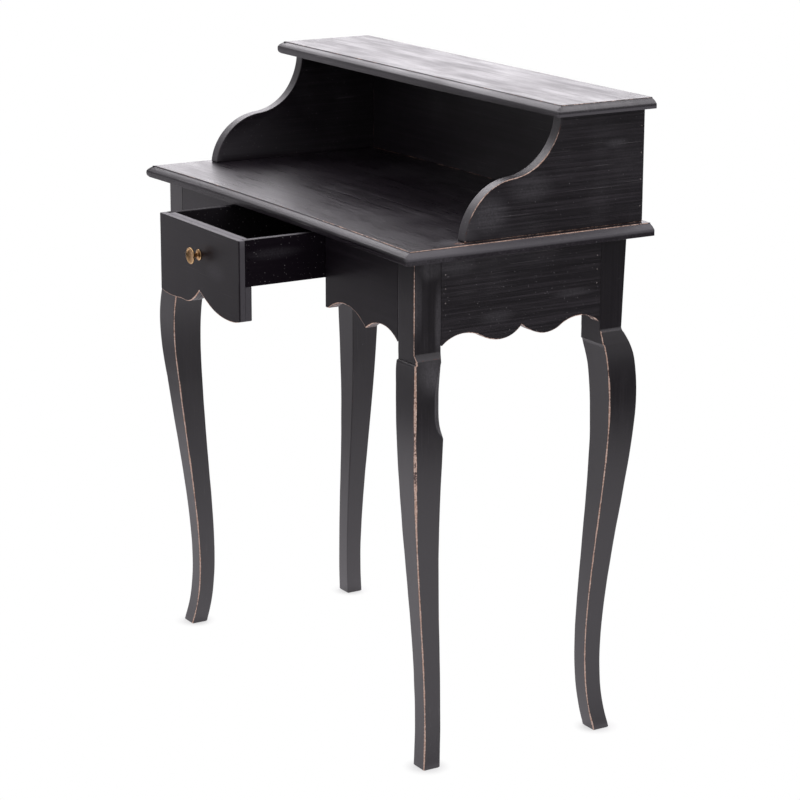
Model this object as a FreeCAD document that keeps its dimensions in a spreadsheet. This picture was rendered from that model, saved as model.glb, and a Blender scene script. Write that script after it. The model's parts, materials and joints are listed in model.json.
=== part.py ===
import FreeCAD, Part
import os
import re
import Sketcher

# A bonheur du jour: a small writing desk with one drawer, S-curved legs and an open gallery.
# Millimetres, +X to the right seen from the front, front towards -Y, +Z up, floor at z = 0.
# The drawer stands pulled out by drawer_pull, and y = 0 is the middle of the whole at that pose.

# Driving dimensions, one cell of the sheet each.
SIZES = {
    # Writing top and its moulded edge
    "writing_height": 766.5,
    "top_length": 794,
    "top_depth": 414,
    "top_thickness": 17,
    "top_overhang": 28,
    "edge_reach": 10.5,
    "edge_drop": 7,
    "edge_quirk": 1.5,
    # Legs: the post above the shoulder, then sections down to the floor, most of them placed by
    # their drop from the shoulder. Each section stands out of the post's outer faces by its two
    # "out" sizes and has its own two widths.
    "post_width": 44,
    "shoulder_height": 605,
    "shoulder_out_x": 6,
    "shoulder_out_y": 1.5,
    "knee_drop": 85,
    "knee_out_x": 19.5,
    "knee_out_y": 10,
    "knee_width_x": 49.5,
    "knee_width_y": 48,
    "thigh_drop": 185,
    "thigh_out_x": 13.5,
    "thigh_out_y": 5,
    "thigh_width_x": 43.5,
    "thigh_width_y": 42.5,
    "calf_drop": 305,
    "calf_out_x": 1,
    "calf_out_y": -8,
    "calf_width_x": 34.5,
    "calf_width_y": 35,
    "ankle_height": 140,
    "ankle_out_x": -7.5,
    "ankle_out_y": -23.5,
    "ankle_width_x": 28,
    "ankle_width_y": 28.5,
    "foot_out_x": 8,
    "foot_out_y": -15,
    "foot_width_x": 28.5,
    "foot_width_y": 28,
    # Aprons and their tenons
    "apron_thickness": 18,
    "back_apron_height": 104,
    "tenon_thickness": 8,
    "tenon_length": 22,
    "tenon_height": 70,
    "tenon_top_gap": 18,
    "tenon_end_gap": 1,
    # Scallops, measured down from the underside of the writing top
    "front_scallop_end": 113,
    "front_scallop_land": 8,
    "front_scallop_point": 121,
    "front_scallop_crown": 98,
    "front_scallop_crown_small": 106.5,
    "front_scallop_share": 0.55,
    "front_scallop_post": 121,
    "side_scallop_point": 111,
    "side_scallop_lobe": 127.5,
    "side_scallop_bend": 118.5,
    "side_scallop_bend_at": 66,
    "side_scallop_crown": 108.5,
    "side_scallop_post": 125,
    # Drawer
    "drawer_pull": 140,
    "drawer_width": 248,
    "drawer_side_clearance": 1.5,
    "drawer_top_clearance": 1.5,
    "drawer_front_thickness": 20,
    "drawer_rebate": 10,
    "drawer_side_height": 68,
    "drawer_side_thickness": 11,
    "drawer_back_thickness": 10,
    "drawer_bottom_thickness": 5,
    "drawer_bottom_lift": 7,
    "drawer_groove": 5,
    "groove_clearance": 0.2,
    "drawer_front_point": 95,
    "drawer_front_lobe": 119.5,
    "drawer_front_end": 115.5,
    # Drawer runners, guides and stops
    "running_gap": 0.3,
    "guide_thickness": 14,
    "runner_width": 14,
    "runner_height": 14,
    "runner_setback": 2,
    "stop_room": 40,
    "stop_length": 20,
    "stop_height": 22,
    # Cleats under the top
    "cleat_width": 18,
    "cleat_height": 20,
    "cleat_end_gap": 30,
    # Gallery
    "gallery_end_inset": 22,
    "gallery_back_inset": 6,
    "gallery_depth": 302,
    "gallery_top_depth": 144,
    "gallery_height": 163.5,
    "ogee_crown": 0.835,
    "gallery_side_thickness": 19,
    "gallery_back_thickness": 10,
    "shelf_thickness": 18,
    "shelf_side_overhang": 25.5,
    "shelf_front_overhang": 21.5,
    "shelf_back_overhang": 1,
    # Screws, dowels, nails and pins
    "hole_clearance": 0.1,
    "screw_radius": 2.2,
    "screw_head_radius": 4.2,
    "screw_head_height": 2.6,
    "gallery_screw_bite": 28,
    "gallery_screw_margin": 45,
    "cleat_screw_bite": 11,
    "dowel_radius": 4,
    "dowel_length": 24,
    "dowel_rise": 10,
    "dowel_margin": 28,
    "pin_radius": 1.1,
    "pin_length": 26,
    "gallery_pin_margin": 24,
    "apron_pin_inset": 7,
    "apron_pin_depth": 15,
    "apron_pin_top": 25,
    "apron_pin_step": 20,
    "nail_radius": 1,
    "nail_length": 22,
    "nail_margin": 12,
    # Knob
    "knob_drop": 42,
    "knob_reach": 15,
    "knob_radius": 12.2,
    "knob_rim": 1.8,
    "knob_dish": 2.2,
    "knob_dish_flat": 1.5,
    "knob_head_thickness": 5.2,
    "knob_edge": 0.5,
    "knob_back_radius": 8.7,
    "knob_back_rise": 1.8,
    "knob_neck_radius": 3.2,
    "rosette_radius": 8.3,
    "rosette_small_radius": 4.4,
    "rosette_waist_radius": 5.4,
    "rosette_thickness": 4.5,
    "rosette_rim": 1.3,
    "knob_screw_radius": 1.8,
    "knob_screw_bite": 5,
    "knob_screw_head_radius": 3.6,
    "knob_screw_head_height": 2.2,
}

# Places worked out from the sizes. A name here stands for its formula in every formula below.
PLACES = {
    # The base: outer faces of the posts and the underside of the writing top
    "right_x": "top_length / 2 - top_overhang",
    "post_x": "right_x - post_width",
    "front_y": "(drawer_pull + knob_reach + top_overhang - top_depth) / 2",
    "back_y": "front_y + top_depth - 2 * top_overhang",
    "base_y": "(front_y + back_y) / 2",
    "post_front_y": "front_y + post_width",
    "post_back_y": "back_y - post_width",
    "under_top": "writing_height - top_thickness",
    # Heights of the leg's sections
    "foot_z": "0",
    "ankle_z": "ankle_height",
    "calf_z": "shoulder_height - calf_drop",
    "thigh_z": "shoulder_height - thigh_drop",
    "knee_z": "shoulder_height - knee_drop",
    "shoulder_z": "shoulder_height",
    # Tenons, centred in the apron's thickness
    "tenon_inset": "(apron_thickness - tenon_thickness) / 2",
    "tenon_high": "under_top - tenon_top_gap",
    "tenon_low": "tenon_high - tenon_height",
    # The drawer's bay between the front aprons
    "bay_x": "drawer_width / 2 + drawer_side_clearance",
    "land_x": "bay_x + front_scallop_land",
    "front_point_x": "land_x + (post_x - land_x) * front_scallop_share",
    "inner_front_y": "front_y + apron_thickness",
    "inner_back_y": "back_y - apron_thickness",
    "inner_x": "right_x - apron_thickness",
    # The drawer as it stands pulled out; closed, its stops have room before the back apron
    "drawer_depth": "inner_back_y - front_y - stop_room",
    "drawer_y": "front_y - drawer_pull",
    "drawer_back_y": "drawer_y + drawer_depth",
    "drawer_top": "under_top - drawer_top_clearance",
    "drawer_side_low": "drawer_top - drawer_side_height",
    "drawer_x": "drawer_width / 2",
    "drawer_inner_x": "drawer_x - drawer_side_thickness",
    "drawer_inner_y": "drawer_y + drawer_front_thickness",
    "bottom_low": "drawer_side_low + drawer_bottom_lift",
    "bottom_high": "bottom_low + drawer_bottom_thickness",
    "runner_high": "drawer_side_low - running_gap",
    "runner_low": "runner_high - runner_height",
    "runner_y": "front_y + drawer_front_thickness + runner_setback",
    "stop_y": "front_y + drawer_depth + running_gap",
    "knob_z": "drawer_top - knob_drop",
    # Gallery
    "gallery_x": "top_length / 2 - gallery_end_inset",
    "gallery_inner_x": "gallery_x - gallery_side_thickness",
    "gallery_back_y": "back_y + top_overhang - gallery_back_inset",
    "gallery_front_y": "gallery_back_y - gallery_depth",
    "gallery_top_y": "gallery_back_y - gallery_top_depth",
    "gallery_mid_y": "(gallery_front_y + gallery_top_y) / 2",
    "gallery_top": "writing_height + gallery_height",
    "gallery_mid": "writing_height + gallery_height / 2",
    "panel_y": "gallery_back_y - gallery_back_thickness",
    "gallery_middle_x": "gallery_x - gallery_side_thickness / 2",
    "panel_middle_y": "gallery_back_y - gallery_back_thickness / 2",
    "dowel_low": "gallery_top + dowel_rise - dowel_length",
    # Cleats on the right of the drawer's bay
    "cleat_low": "under_top - cleat_height",
    "cleat_near_x": "bay_x + guide_thickness + cleat_end_gap",
    "cleat_far_x": "post_x - cleat_end_gap",
    "cleat_front_y": "post_front_y + cleat_end_gap",
    "cleat_back_y": "post_back_y - cleat_end_gap",
    # Bores for the fasteners
    "screw_bore": "screw_radius + hole_clearance",
    "screw_head_bore": "screw_head_radius + hole_clearance",
    "dowel_bore": "dowel_radius + hole_clearance",
    "pin_bore": "pin_radius + hole_clearance",
    "nail_bore": "nail_radius + hole_clearance",
    "knob_bore": "knob_screw_radius + hole_clearance",
}

doc = FreeCAD.newDocument("bonheur_du_jour")
sheet = doc.addObject("Spreadsheet::Sheet", "sizes")
for row, (alias, size) in enumerate(SIZES.items(), start=1):
    sheet.set(f"A{row}", alias)
    sheet.set(f"B{row}", str(size))
    sheet.setAlias(f"B{row}", alias)
doc.recompute()

FRONT = "XZ_Plane"
SIDE = "YZ_Plane"
FLAT = "XY_Plane"
AXES = {"x": FreeCAD.Vector(1, 0, 0), "y": FreeCAD.Vector(0, 1, 0), "z": FreeCAD.Vector(0, 0, 1)}
APRON_PINS = 3
GALLERY_PINS = 4
GALLERY_SCREW_PLACES = ("gallery_front_y + gallery_screw_margin", "gallery_back_y - gallery_screw_margin")
DOWEL_PLACES = ("gallery_top_y + dowel_margin", "gallery_back_y - dowel_margin")
pieces = []


def formula(text):
    """The text with its places written out and its sizes bound to the sheet."""
    def word(match):
        name = match.group()
        if name in PLACES:
            return "(" + formula(PLACES[name]) + ")"
        return "sizes." + name if name in SIZES else name
    return re.sub(r"[a-z_]+", word, text)


def number(text):
    """The value of a formula with the sheet as it stands."""
    return float(sheet.evalExpression(formula(text)))


def bind(thing, **texts):
    """Bind properties to formulas; x, y and z stand for the placement's base."""
    for name, text in texts.items():
        path = f"Placement.Base.{name}" if name in AXES else name
        thing.setExpression(path, formula(text))


def piece(thing, label):
    """Name a finished sub-part; its label names its file."""
    thing.Label = label
    pieces.append(thing)
    return thing


def box(name, low, high):
    """A block between two corners, each three formulas."""
    block = doc.addObject("Part::Box", name)
    bind(block, x=low[0], y=low[1], z=low[2])
    for side, start, end in zip(("Length", "Width", "Height"), low, high):
        block.setExpression(side, formula(f"({end}) - ({start})"))
    return block


def rod(name, axis, base, radius, length):
    """A round bar from base along +X, +Y or +Z."""
    bar = doc.addObject("Part::Cylinder", name)
    bar.Placement.Rotation = FreeCAD.Rotation(AXES["z"], AXES[axis])
    bind(bar, x=base[0], y=base[1], z=base[2], Radius=radius, Height=length)
    return bar


def fuse(name, parts):
    joined = doc.addObject("Part::MultiFuse", name)
    joined.Shapes = parts
    return joined


def group(name, parts):
    """Separate solids kept together as one sub-part."""
    several = doc.addObject("Part::Compound", name)
    several.Links = parts
    return several


def both_sides(name, parts):
    """Separate solids on the right and their mirror images on the left."""
    right = group(name + "_right", parts)
    return [right, mirror(name + "_left", right, "x")]


def cut(name, base, tools):
    tool = tools[0] if len(tools) == 1 else fuse(name + "_tools", tools)
    left = doc.addObject("Part::Cut", name)
    left.Base = base
    left.Tool = tool
    return left


def mirror(name, source, axis, at="0"):
    """The source mirrored in a plane across an axis."""
    other = doc.addObject("Part::Mirroring", name)
    other.Source = source
    other.Normal = AXES[axis]
    other.setExpression(f"Base.{axis}", formula(at))
    return other


def sketch_on(body, name, plane, offset):
    """An empty sketch on one of the body's origin planes, moved along its normal."""
    sketch = body.newObject("Sketcher::SketchObject", name)
    support = [item for item in body.Origin.OriginFeatures if item.Role == plane][0]
    sketch.AttachmentSupport = (support, [""])
    sketch.MapMode = "FlatFace"
    sketch.setExpression("AttachmentOffset.Base.z", formula(offset))
    return sketch


def fix_point(sketch, shape, end, place):
    """Tie one point of a sketch to two formulas."""
    for kind, text in zip(("DistanceX", "DistanceY"), place):
        rule = Sketcher.Constraint(kind, -1, 1, shape, end, number(text))
        index = sketch.addConstraint(rule)
        sketch.renameConstraint(index, f"place_{index}")
        sketch.setExpression(f".Constraints.place_{index}", formula(text))


def draw(sketch, corners):
    """A closed outline. A corner is two formulas; four are an arc's middle and then its end."""
    flat = [FreeCAD.Vector(number(corner[-2]), number(corner[-1]), 0) for corner in corners]
    ends = []
    for index, corner in enumerate(corners):
        start = flat[index - 1]
        end = flat[index]
        if len(corner) == 2:
            edge = sketch.addGeometry(Part.LineSegment(start, end), False)
        else:
            middle = FreeCAD.Vector(number(corner[0]), number(corner[1]), 0)
            edge = sketch.addGeometry(Part.Arc(start, middle, end), False)
            crown = sketch.addGeometry(Part.Point(middle), True)
            fix_point(sketch, crown, 1, corner[:2])
            sketch.addConstraint(Sketcher.Constraint("PointOnObject", crown, 1, edge))
        away = [sketch.getPoint(edge, point).distanceToPoint(start) for point in (1, 2)]
        ends.append((edge, 1, 2) if away[0] < away[1] else (edge, 2, 1))
    for index, corner in enumerate(corners):
        edge, _, last = ends[index]
        following, first, _ = ends[(index + 1) % len(ends)]
        sketch.addConstraint(Sketcher.Constraint("Coincident", edge, last, following, first))
        fix_point(sketch, edge, last, corner[-2:])


def rectangle(low, high):
    """The four corners of a rectangle for draw."""
    return [(low[0], low[1]), (high[0], low[1]), (high[0], high[1]), (low[0], high[1])]


def pad(body, sketch, length):
    feature = body.newObject("PartDesign::Pad", sketch.Name + "_pad")
    feature.Profile = sketch
    feature.setExpression("Length", formula(length))


def board(name, plane, corners, offset, thickness):
    """A board padded from an outline, along the plane's normal from offset."""
    body = doc.addObject("PartDesign::Body", name)
    sketch = sketch_on(body, name + "_outline", plane, offset)
    draw(sketch, corners)
    pad(body, sketch, thickness)
    return body


def moulded_board(name, low, high, thickness):
    """A board with a sloped moulding below a quirk on its front and ends; its back edge is square."""
    body = doc.addObject("PartDesign::Body", name)
    edge_height = f"{thickness} - edge_quirk - edge_drop"
    slope_high = f"{low[2]} + {thickness} - edge_quirk"
    outer = rectangle(low, high)
    field_low = (f"{low[0]} + edge_reach", f"{low[1]} + edge_reach")
    field = rectangle(field_low, (f"{high[0]} - edge_reach", high[1]))
    slab_sketch = sketch_on(body, name + "_slab", FLAT, low[2])
    draw(slab_sketch, outer)
    pad(body, slab_sketch, edge_height)
    foot_sketch = sketch_on(body, name + "_slope_foot", FLAT, f"{low[2]} + {edge_height}")
    draw(foot_sketch, outer)
    head_sketch = sketch_on(body, name + "_slope_head", FLAT, slope_high)
    draw(head_sketch, field)
    slope = body.newObject("PartDesign::AdditiveLoft", name + "_slope")
    slope.Profile = foot_sketch
    slope.Sections = [head_sketch]
    slope.Ruled = True
    doc.recompute()
    field_sketch = sketch_on(body, name + "_field", FLAT, slope_high)
    draw(field_sketch, field)
    pad(body, field_sketch, "edge_quirk")
    return body


def turned(name, y, z, outline):
    """A round piece about an axis along Y; the outline is (distance along +Y, radius) formulas."""
    body = doc.addObject("PartDesign::Body", name)
    sketch = sketch_on(body, name + "_outline", SIDE, "0")
    sketch.setExpression("AttachmentOffset.Base.x", formula(y))
    sketch.setExpression("AttachmentOffset.Base.y", formula(z))
    draw(sketch, outline)
    spin = body.newObject("PartDesign::Revolution", name + "_spin")
    spin.Profile = sketch
    spin.ReferenceAxis = (sketch, ["H_Axis"])
    spin.Angle = 360
    return body


def screw(name, base, length):
    """An upright wood screw whose head's underside is at base."""
    shank = rod(name + "_shank", "z", base, "screw_radius", length)
    head_base = (base[0], base[1], f"{base[2]} - screw_head_height")
    head = rod(name + "_head", "z", head_base, "screw_head_radius", "screw_head_height")
    return fuse(name, [shank, head])


# Legs: the front right one is modelled, the others mirror it.

LEG_SECTIONS = ["foot", "ankle", "calf", "thigh", "knee", "shoulder"]


def leg_section(body, section):
    """A square section of the front right leg, measured from the post's outer faces."""
    outer = (f"right_x + {section}_out_x", f"front_y - {section}_out_y")
    if section == "shoulder":
        inner = ("post_x", "post_front_y")
    else:
        inner = (f"{outer[0]} - {section}_width_x", f"{outer[1]} + {section}_width_y")
    sketch = sketch_on(body, f"leg_{section}", FLAT, f"{section}_z")
    draw(sketch, rectangle((inner[0], outer[1]), (outer[0], inner[1])))
    return sketch


def make_legs():
    body = doc.addObject("PartDesign::Body", "leg_pattern")
    sections = [leg_section(body, section) for section in LEG_SECTIONS]
    curve = body.newObject("PartDesign::AdditiveLoft", "leg_curve")
    curve.Profile = sections[0]
    curve.Sections = sections[1:]
    doc.recompute()
    post_sketch = sketch_on(body, "leg_post", FLAT, "shoulder_height")
    draw(post_sketch, rectangle(("post_x", "front_y"), ("right_x", "post_front_y")))
    pad(body, post_sketch, "under_top - shoulder_height")
    reach = "tenon_length + tenon_end_gap"
    front_mortise = box(
        "front_mortise",
        ("post_x", "front_y + tenon_inset", "tenon_low"),
        (f"post_x + {reach}", "front_y + tenon_inset + tenon_thickness", "tenon_high"),
    )
    side_mortise = box(
        "side_mortise",
        ("right_x - tenon_inset - tenon_thickness", f"post_front_y - ({reach})", "tenon_low"),
        ("right_x - tenon_inset", "post_front_y", "tenon_high"),
    )
    front_right = piece(cut("leg_front_right", body, [front_mortise, side_mortise]), "leg_front_right")
    front_left = piece(mirror("leg_front_left", front_right, "x"), "leg_front_left")
    piece(mirror("leg_back_right", front_right, "y", "base_y"), "leg_back_right")
    piece(mirror("leg_back_left", front_left, "y", "base_y"), "leg_back_left")


# Aprons


def cross_tenon(name, x_low, x_high, outer_y, inwards):
    """A tenon along X, inset from the apron's outer face towards the inside."""
    near = f"{outer_y} {inwards} tenon_inset"
    far = f"{outer_y} {inwards} (tenon_inset + tenon_thickness)"
    y_low, y_high = (near, far) if inwards == "+" else (far, near)
    return box(name, (x_low, y_low, "tenon_low"), (x_high, y_high, "tenon_high"))


def make_front_aprons():
    crown = "under_top - front_scallop_crown"
    small_crown = "under_top - front_scallop_crown_small"
    outline = [
        ("bay_x", "under_top"),
        ("bay_x", "under_top - front_scallop_end"),
        ("land_x", "under_top - front_scallop_end"),
        ("(land_x + front_point_x) / 2", crown, "front_point_x", "under_top - front_scallop_point"),
        ("(front_point_x + post_x) / 2", small_crown, "post_x", "under_top - front_scallop_post"),
        ("post_x", "under_top"),
    ]
    panel = board("front_apron_panel", FRONT, outline, "-inner_front_y", "apron_thickness")
    tenon = cross_tenon("front_apron_tenon", "post_x", "post_x + tenon_length", "front_y", "+")
    right = piece(fuse("front_apron_right", [panel, tenon]), "front_apron_right")
    piece(mirror("front_apron_left", right, "x"), "front_apron_left")


def make_side_aprons():
    bend_front = "base_y - side_scallop_bend_at"
    bend_back = "base_y + side_scallop_bend_at"
    bend = "under_top - side_scallop_bend"
    lobe = "under_top - side_scallop_lobe"
    crown = "under_top - side_scallop_crown"
    post = "under_top - side_scallop_post"
    outline = [
        ("post_front_y", "under_top"),
        ("post_front_y", post),
        (f"(post_front_y + {bend_front}) / 2", crown, bend_front, bend),
        (f"(base_y + {bend_front}) / 2", lobe, "base_y", "under_top - side_scallop_point"),
        (f"(base_y + {bend_back}) / 2", lobe, bend_back, bend),
        (f"(post_back_y + {bend_back}) / 2", crown, "post_back_y", post),
        ("post_back_y", "under_top"),
    ]
    panel = board("side_apron_panel", SIDE, outline, "inner_x", "apron_thickness")
    tenons = box(
        "side_apron_tenons",
        ("right_x - tenon_inset - tenon_thickness", "post_front_y - tenon_length", "tenon_low"),
        ("right_x - tenon_inset", "post_back_y + tenon_length", "tenon_high"),
    )
    whole = fuse("side_apron_whole", [panel, tenons])
    pins = []
    holes = []
    for end, y in (("front", "post_front_y + apron_pin_inset"), ("back", "post_back_y - apron_pin_inset")):
        for step in range(APRON_PINS):
            base = ("right_x - apron_pin_depth", y, f"under_top - apron_pin_top - {step} * apron_pin_step")
            pins.append(rod(f"apron_pin_{end}_{step}", "x", base, "pin_radius", "apron_pin_depth"))
            holes.append(rod(f"apron_pin_hole_{end}_{step}", "x", base, "pin_bore", "apron_pin_depth"))
    right = piece(cut("side_apron_right", whole, holes), "side_apron_right")
    piece(mirror("side_apron_left", right, "x"), "side_apron_left")
    piece(group("apron_pins", both_sides("apron_pins", pins)), "apron_pins")


def make_back_apron():
    panel = box(
        "back_apron_panel",
        ("-post_x", "inner_back_y", "under_top - back_apron_height"),
        ("post_x", "back_y", "under_top"),
    )
    reach = "post_x + tenon_length"
    tenons = cross_tenon("back_apron_tenons", f"-({reach})", reach, "back_y", "-")
    piece(fuse("back_apron", [panel, tenons]), "back_apron")


# Drawer bay: guides, runners and stops on both sides


def make_drawer_bay():
    runner_x = "bay_x - runner_width"
    guide = box(
        "drawer_guide_right",
        ("bay_x", "inner_front_y", "runner_low"),
        ("bay_x + guide_thickness", "inner_back_y", "under_top"),
    )
    runner = box(
        "drawer_runner_right",
        (runner_x, "runner_y", "runner_low"),
        ("bay_x", "inner_back_y", "runner_high"),
    )
    stop = box(
        "drawer_stop_right",
        (runner_x, "stop_y", "runner_high"),
        ("bay_x", "stop_y + stop_length", "runner_high + stop_height"),
    )
    for right in (guide, runner, stop):
        left_label = right.Name.replace("right", "left")
        piece(right, right.Name)
        piece(mirror(left_label, right, "x"), left_label)


# Cleats that hold the writing top, with two screws each


def quarter_points(low, high):
    """The places a quarter of the way in from both ends."""
    return f"({low} * 3 + {high}) / 4", f"({low} + {high} * 3) / 4"


def make_cleats():
    """Make the cleats and their screws, and give back the screws' holes in the writing top."""
    side_x = "inner_x - cleat_width / 2"
    front_y = "inner_front_y + cleat_width / 2"
    back_y = "inner_back_y - cleat_width / 2"
    across = quarter_points("cleat_near_x", "cleat_far_x")
    along = quarter_points("cleat_front_y", "cleat_back_y")
    cleats = {
        "side": (
            ("inner_x - cleat_width", "cleat_front_y"),
            ("inner_x", "cleat_back_y"),
            [(side_x, y) for y in along],
        ),
        "front": (
            ("cleat_near_x", "inner_front_y"),
            ("cleat_far_x", "inner_front_y + cleat_width"),
            [(x, front_y) for x in across],
        ),
        "back": (
            ("cleat_near_x", "inner_back_y - cleat_width"),
            ("cleat_far_x", "inner_back_y"),
            [(x, back_y) for x in across],
        ),
    }
    screws = []
    pilots = []
    for where, (low, high, places) in cleats.items():
        block = box(f"cleat_block_{where}", (*low, "cleat_low"), (*high, "under_top"))
        holes = []
        for index, (x, y) in enumerate(places):
            name = f"cleat_{where}_screw_{index}"
            base = (x, y, "cleat_low")
            screws.append(screw(name, base, "cleat_height + cleat_screw_bite"))
            holes.append(rod(name + "_hole", "z", base, "screw_bore", "cleat_height"))
            pilots.append(rod(name + "_pilot", "z", (x, y, "under_top"), "screw_bore", "cleat_screw_bite"))
        label = f"top_cleat_{where}"
        right = piece(cut(f"{label}_right", block, holes), f"{label}_right")
        piece(mirror(f"{label}_left", right, "x"), f"{label}_left")
    piece(group("top_cleat_screws", both_sides("top_cleat_screws", screws)), "top_cleat_screws")
    return both_sides("top_cleat_pilots", pilots)


# Writing top and the gallery on it


def make_tabletop(cleat_pilots):
    low = ("-top_length / 2", "front_y - top_overhang", "under_top")
    high = ("top_length / 2", "back_y + top_overhang")
    slab = moulded_board("tabletop_board", low, high, "top_thickness")
    screws = []
    holes = []
    for index, y in enumerate(GALLERY_SCREW_PLACES):
        seat = ("gallery_middle_x", y, "under_top + screw_head_height")
        mouth = ("gallery_middle_x", y, "under_top")
        length = "top_thickness - screw_head_height + gallery_screw_bite"
        screws.append(screw(f"gallery_screw_{index}", seat, length))
        holes.append(rod(f"gallery_screw_hole_{index}", "z", seat, "screw_bore", "top_thickness"))
        holes.append(rod(f"gallery_screw_sink_{index}", "z", mouth, "screw_head_bore", "screw_head_height"))
    tools = [fuse("gallery_screw_holes_right", holes)]
    tools.append(mirror("gallery_screw_holes_left", tools[0], "x"))
    piece(cut("tabletop", slab, tools + cleat_pilots), "tabletop")
    piece(group("gallery_screws", both_sides("gallery_screws", screws)), "gallery_screws")


def ogee():
    """The two arcs of a gallery side's front edge, each a middle and an end."""
    run = "(gallery_top_y - gallery_front_y) / 2"
    rise = "gallery_height / 2"
    lower = (f"gallery_front_y + {run} / 2", f"writing_height + {rise} * ogee_crown")
    upper = (f"gallery_top_y - {run} / 2", f"gallery_top - {rise} * ogee_crown")
    return [(*lower, "gallery_mid_y", "gallery_mid"), (*upper, "gallery_top_y", "gallery_top")]


def make_gallery():
    outline = [("gallery_back_y", "writing_height"), ("gallery_front_y", "writing_height")]
    outline += ogee()
    outline += [("gallery_back_y", "gallery_top")]
    side = board("gallery_side_board", SIDE, outline, "gallery_inner_x", "gallery_side_thickness")
    panel = box(
        "gallery_back_board",
        ("-gallery_inner_x", "panel_y", "writing_height"),
        ("gallery_inner_x", "gallery_back_y", "gallery_top"),
    )
    side_holes = []
    for index, y in enumerate(GALLERY_SCREW_PLACES):
        base = ("gallery_middle_x", y, "writing_height")
        side_holes.append(rod(f"gallery_side_pilot_{index}", "z", base, "screw_bore", "gallery_screw_bite"))
    for index, y in enumerate(DOWEL_PLACES):
        base = ("gallery_middle_x", y, "dowel_low")
        side_holes.append(rod(f"gallery_side_socket_{index}", "z", base, "dowel_bore", "dowel_length"))
    pins = []
    pin_holes = []
    pin_step = f"(gallery_height - 2 * gallery_pin_margin) / {GALLERY_PINS - 1}"
    for index in range(GALLERY_PINS):
        z = f"writing_height + gallery_pin_margin + {index} * {pin_step}"
        base = ("gallery_x - pin_length", "panel_middle_y", z)
        pins.append(rod(f"gallery_pin_{index}", "x", base, "pin_radius", "pin_length"))
        pin_holes.append(rod(f"gallery_pin_hole_{index}", "x", base, "pin_bore", "pin_length"))
    right = piece(cut("gallery_side_right", side, side_holes + pin_holes), "gallery_side_right")
    piece(mirror("gallery_side_left", right, "x"), "gallery_side_left")
    piece(cut("gallery_back", panel, both_sides("gallery_pin_holes", pin_holes)), "gallery_back")
    piece(group("gallery_pins", both_sides("gallery_pins", pins)), "gallery_pins")


def make_gallery_shelf():
    low = ("-gallery_x - shelf_side_overhang", "gallery_top_y - shelf_front_overhang", "gallery_top")
    high = ("gallery_x + shelf_side_overhang", "gallery_back_y + shelf_back_overhang")
    slab = moulded_board("gallery_shelf_board", low, high, "shelf_thickness")
    dowels = []
    sockets = []
    for index, y in enumerate(DOWEL_PLACES):
        base = ("gallery_middle_x", y, "dowel_low")
        dowels.append(rod(f"gallery_dowel_{index}", "z", base, "dowel_radius", "dowel_length"))
        sockets.append(rod(f"gallery_shelf_socket_{index}", "z", base, "dowel_bore", "dowel_length"))
    piece(cut("gallery_shelf", slab, both_sides("gallery_shelf_sockets", sockets)), "gallery_shelf")
    piece(group("gallery_dowels", both_sides("gallery_dowels", dowels)), "gallery_dowels")


# Drawer, as it stands pulled out


def drawer_nails():
    """The nails in the right end of the drawer's front, and their holes."""
    y = "(drawer_y + drawer_rebate + drawer_inner_y) / 2"
    heights = {
        "low": "bottom_high + nail_margin",
        "middle": "(bottom_high + drawer_top) / 2",
        "high": "drawer_top - nail_margin",
    }
    nails = []
    holes = []
    for where, z in heights.items():
        base = ("drawer_x - nail_length", y, z)
        nails.append(rod(f"drawer_nail_{where}", "x", base, "nail_radius", "nail_length"))
        holes.append(rod(f"drawer_nail_hole_{where}", "x", base, "nail_bore", "nail_length"))
    return nails, holes


def make_drawer():
    end = "drawer_top - drawer_front_end"
    lobe = "drawer_top - drawer_front_lobe"
    outline = [
        ("-drawer_x", "drawer_top"),
        ("-drawer_x", end),
        ("-drawer_x / 2", lobe, "0", "drawer_top - drawer_front_point"),
        ("drawer_x / 2", lobe, "drawer_x", end),
        ("drawer_x", "drawer_top"),
    ]
    front = board("drawer_front_board", FRONT, outline, "-drawer_inner_y", "drawer_front_thickness")
    rebate = box(
        "drawer_rebate",
        ("drawer_inner_x", "drawer_y + drawer_rebate", "drawer_side_low"),
        ("drawer_x", "drawer_inner_y", "drawer_top"),
    )
    bottom_x = "drawer_inner_x + drawer_groove"
    bottom_y = "drawer_inner_y - drawer_groove"
    groove_x = f"{bottom_x} + groove_clearance"
    groove = box(
        "drawer_groove",
        (f"-({groove_x})", f"{bottom_y} - groove_clearance", "bottom_low - groove_clearance"),
        (groove_x, "drawer_back_y", "bottom_high"),
    )
    nails, nail_holes = drawer_nails()
    knob_hole = rod("knob_hole", "y", ("0", "drawer_y", "knob_z"), "knob_bore", "drawer_front_thickness")
    front_cuts = both_sides("drawer_rebates", [rebate]) + both_sides("drawer_nail_holes", nail_holes)
    piece(cut("drawer_front", front, [*front_cuts, groove, knob_hole]), "drawer_front")
    side = box(
        "drawer_side_board",
        ("drawer_inner_x", "drawer_y + drawer_rebate", "drawer_side_low"),
        ("drawer_x", "drawer_back_y", "drawer_top"),
    )
    right = piece(cut("drawer_side_right", side, [groove, *nail_holes]), "drawer_side_right")
    piece(mirror("drawer_side_left", right, "x"), "drawer_side_left")
    back = box(
        "drawer_back",
        ("-drawer_inner_x", "drawer_back_y - drawer_back_thickness", "bottom_high"),
        ("drawer_inner_x", "drawer_back_y", "drawer_top"),
    )
    piece(back, "drawer_back")
    bottom = box(
        "drawer_bottom",
        (f"-({bottom_x})", bottom_y, "bottom_low"),
        (bottom_x, "drawer_back_y", "bottom_high"),
    )
    piece(bottom, "drawer_bottom")
    piece(group("drawer_nails", both_sides("drawer_nails", nails)), "drawer_nails")


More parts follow.
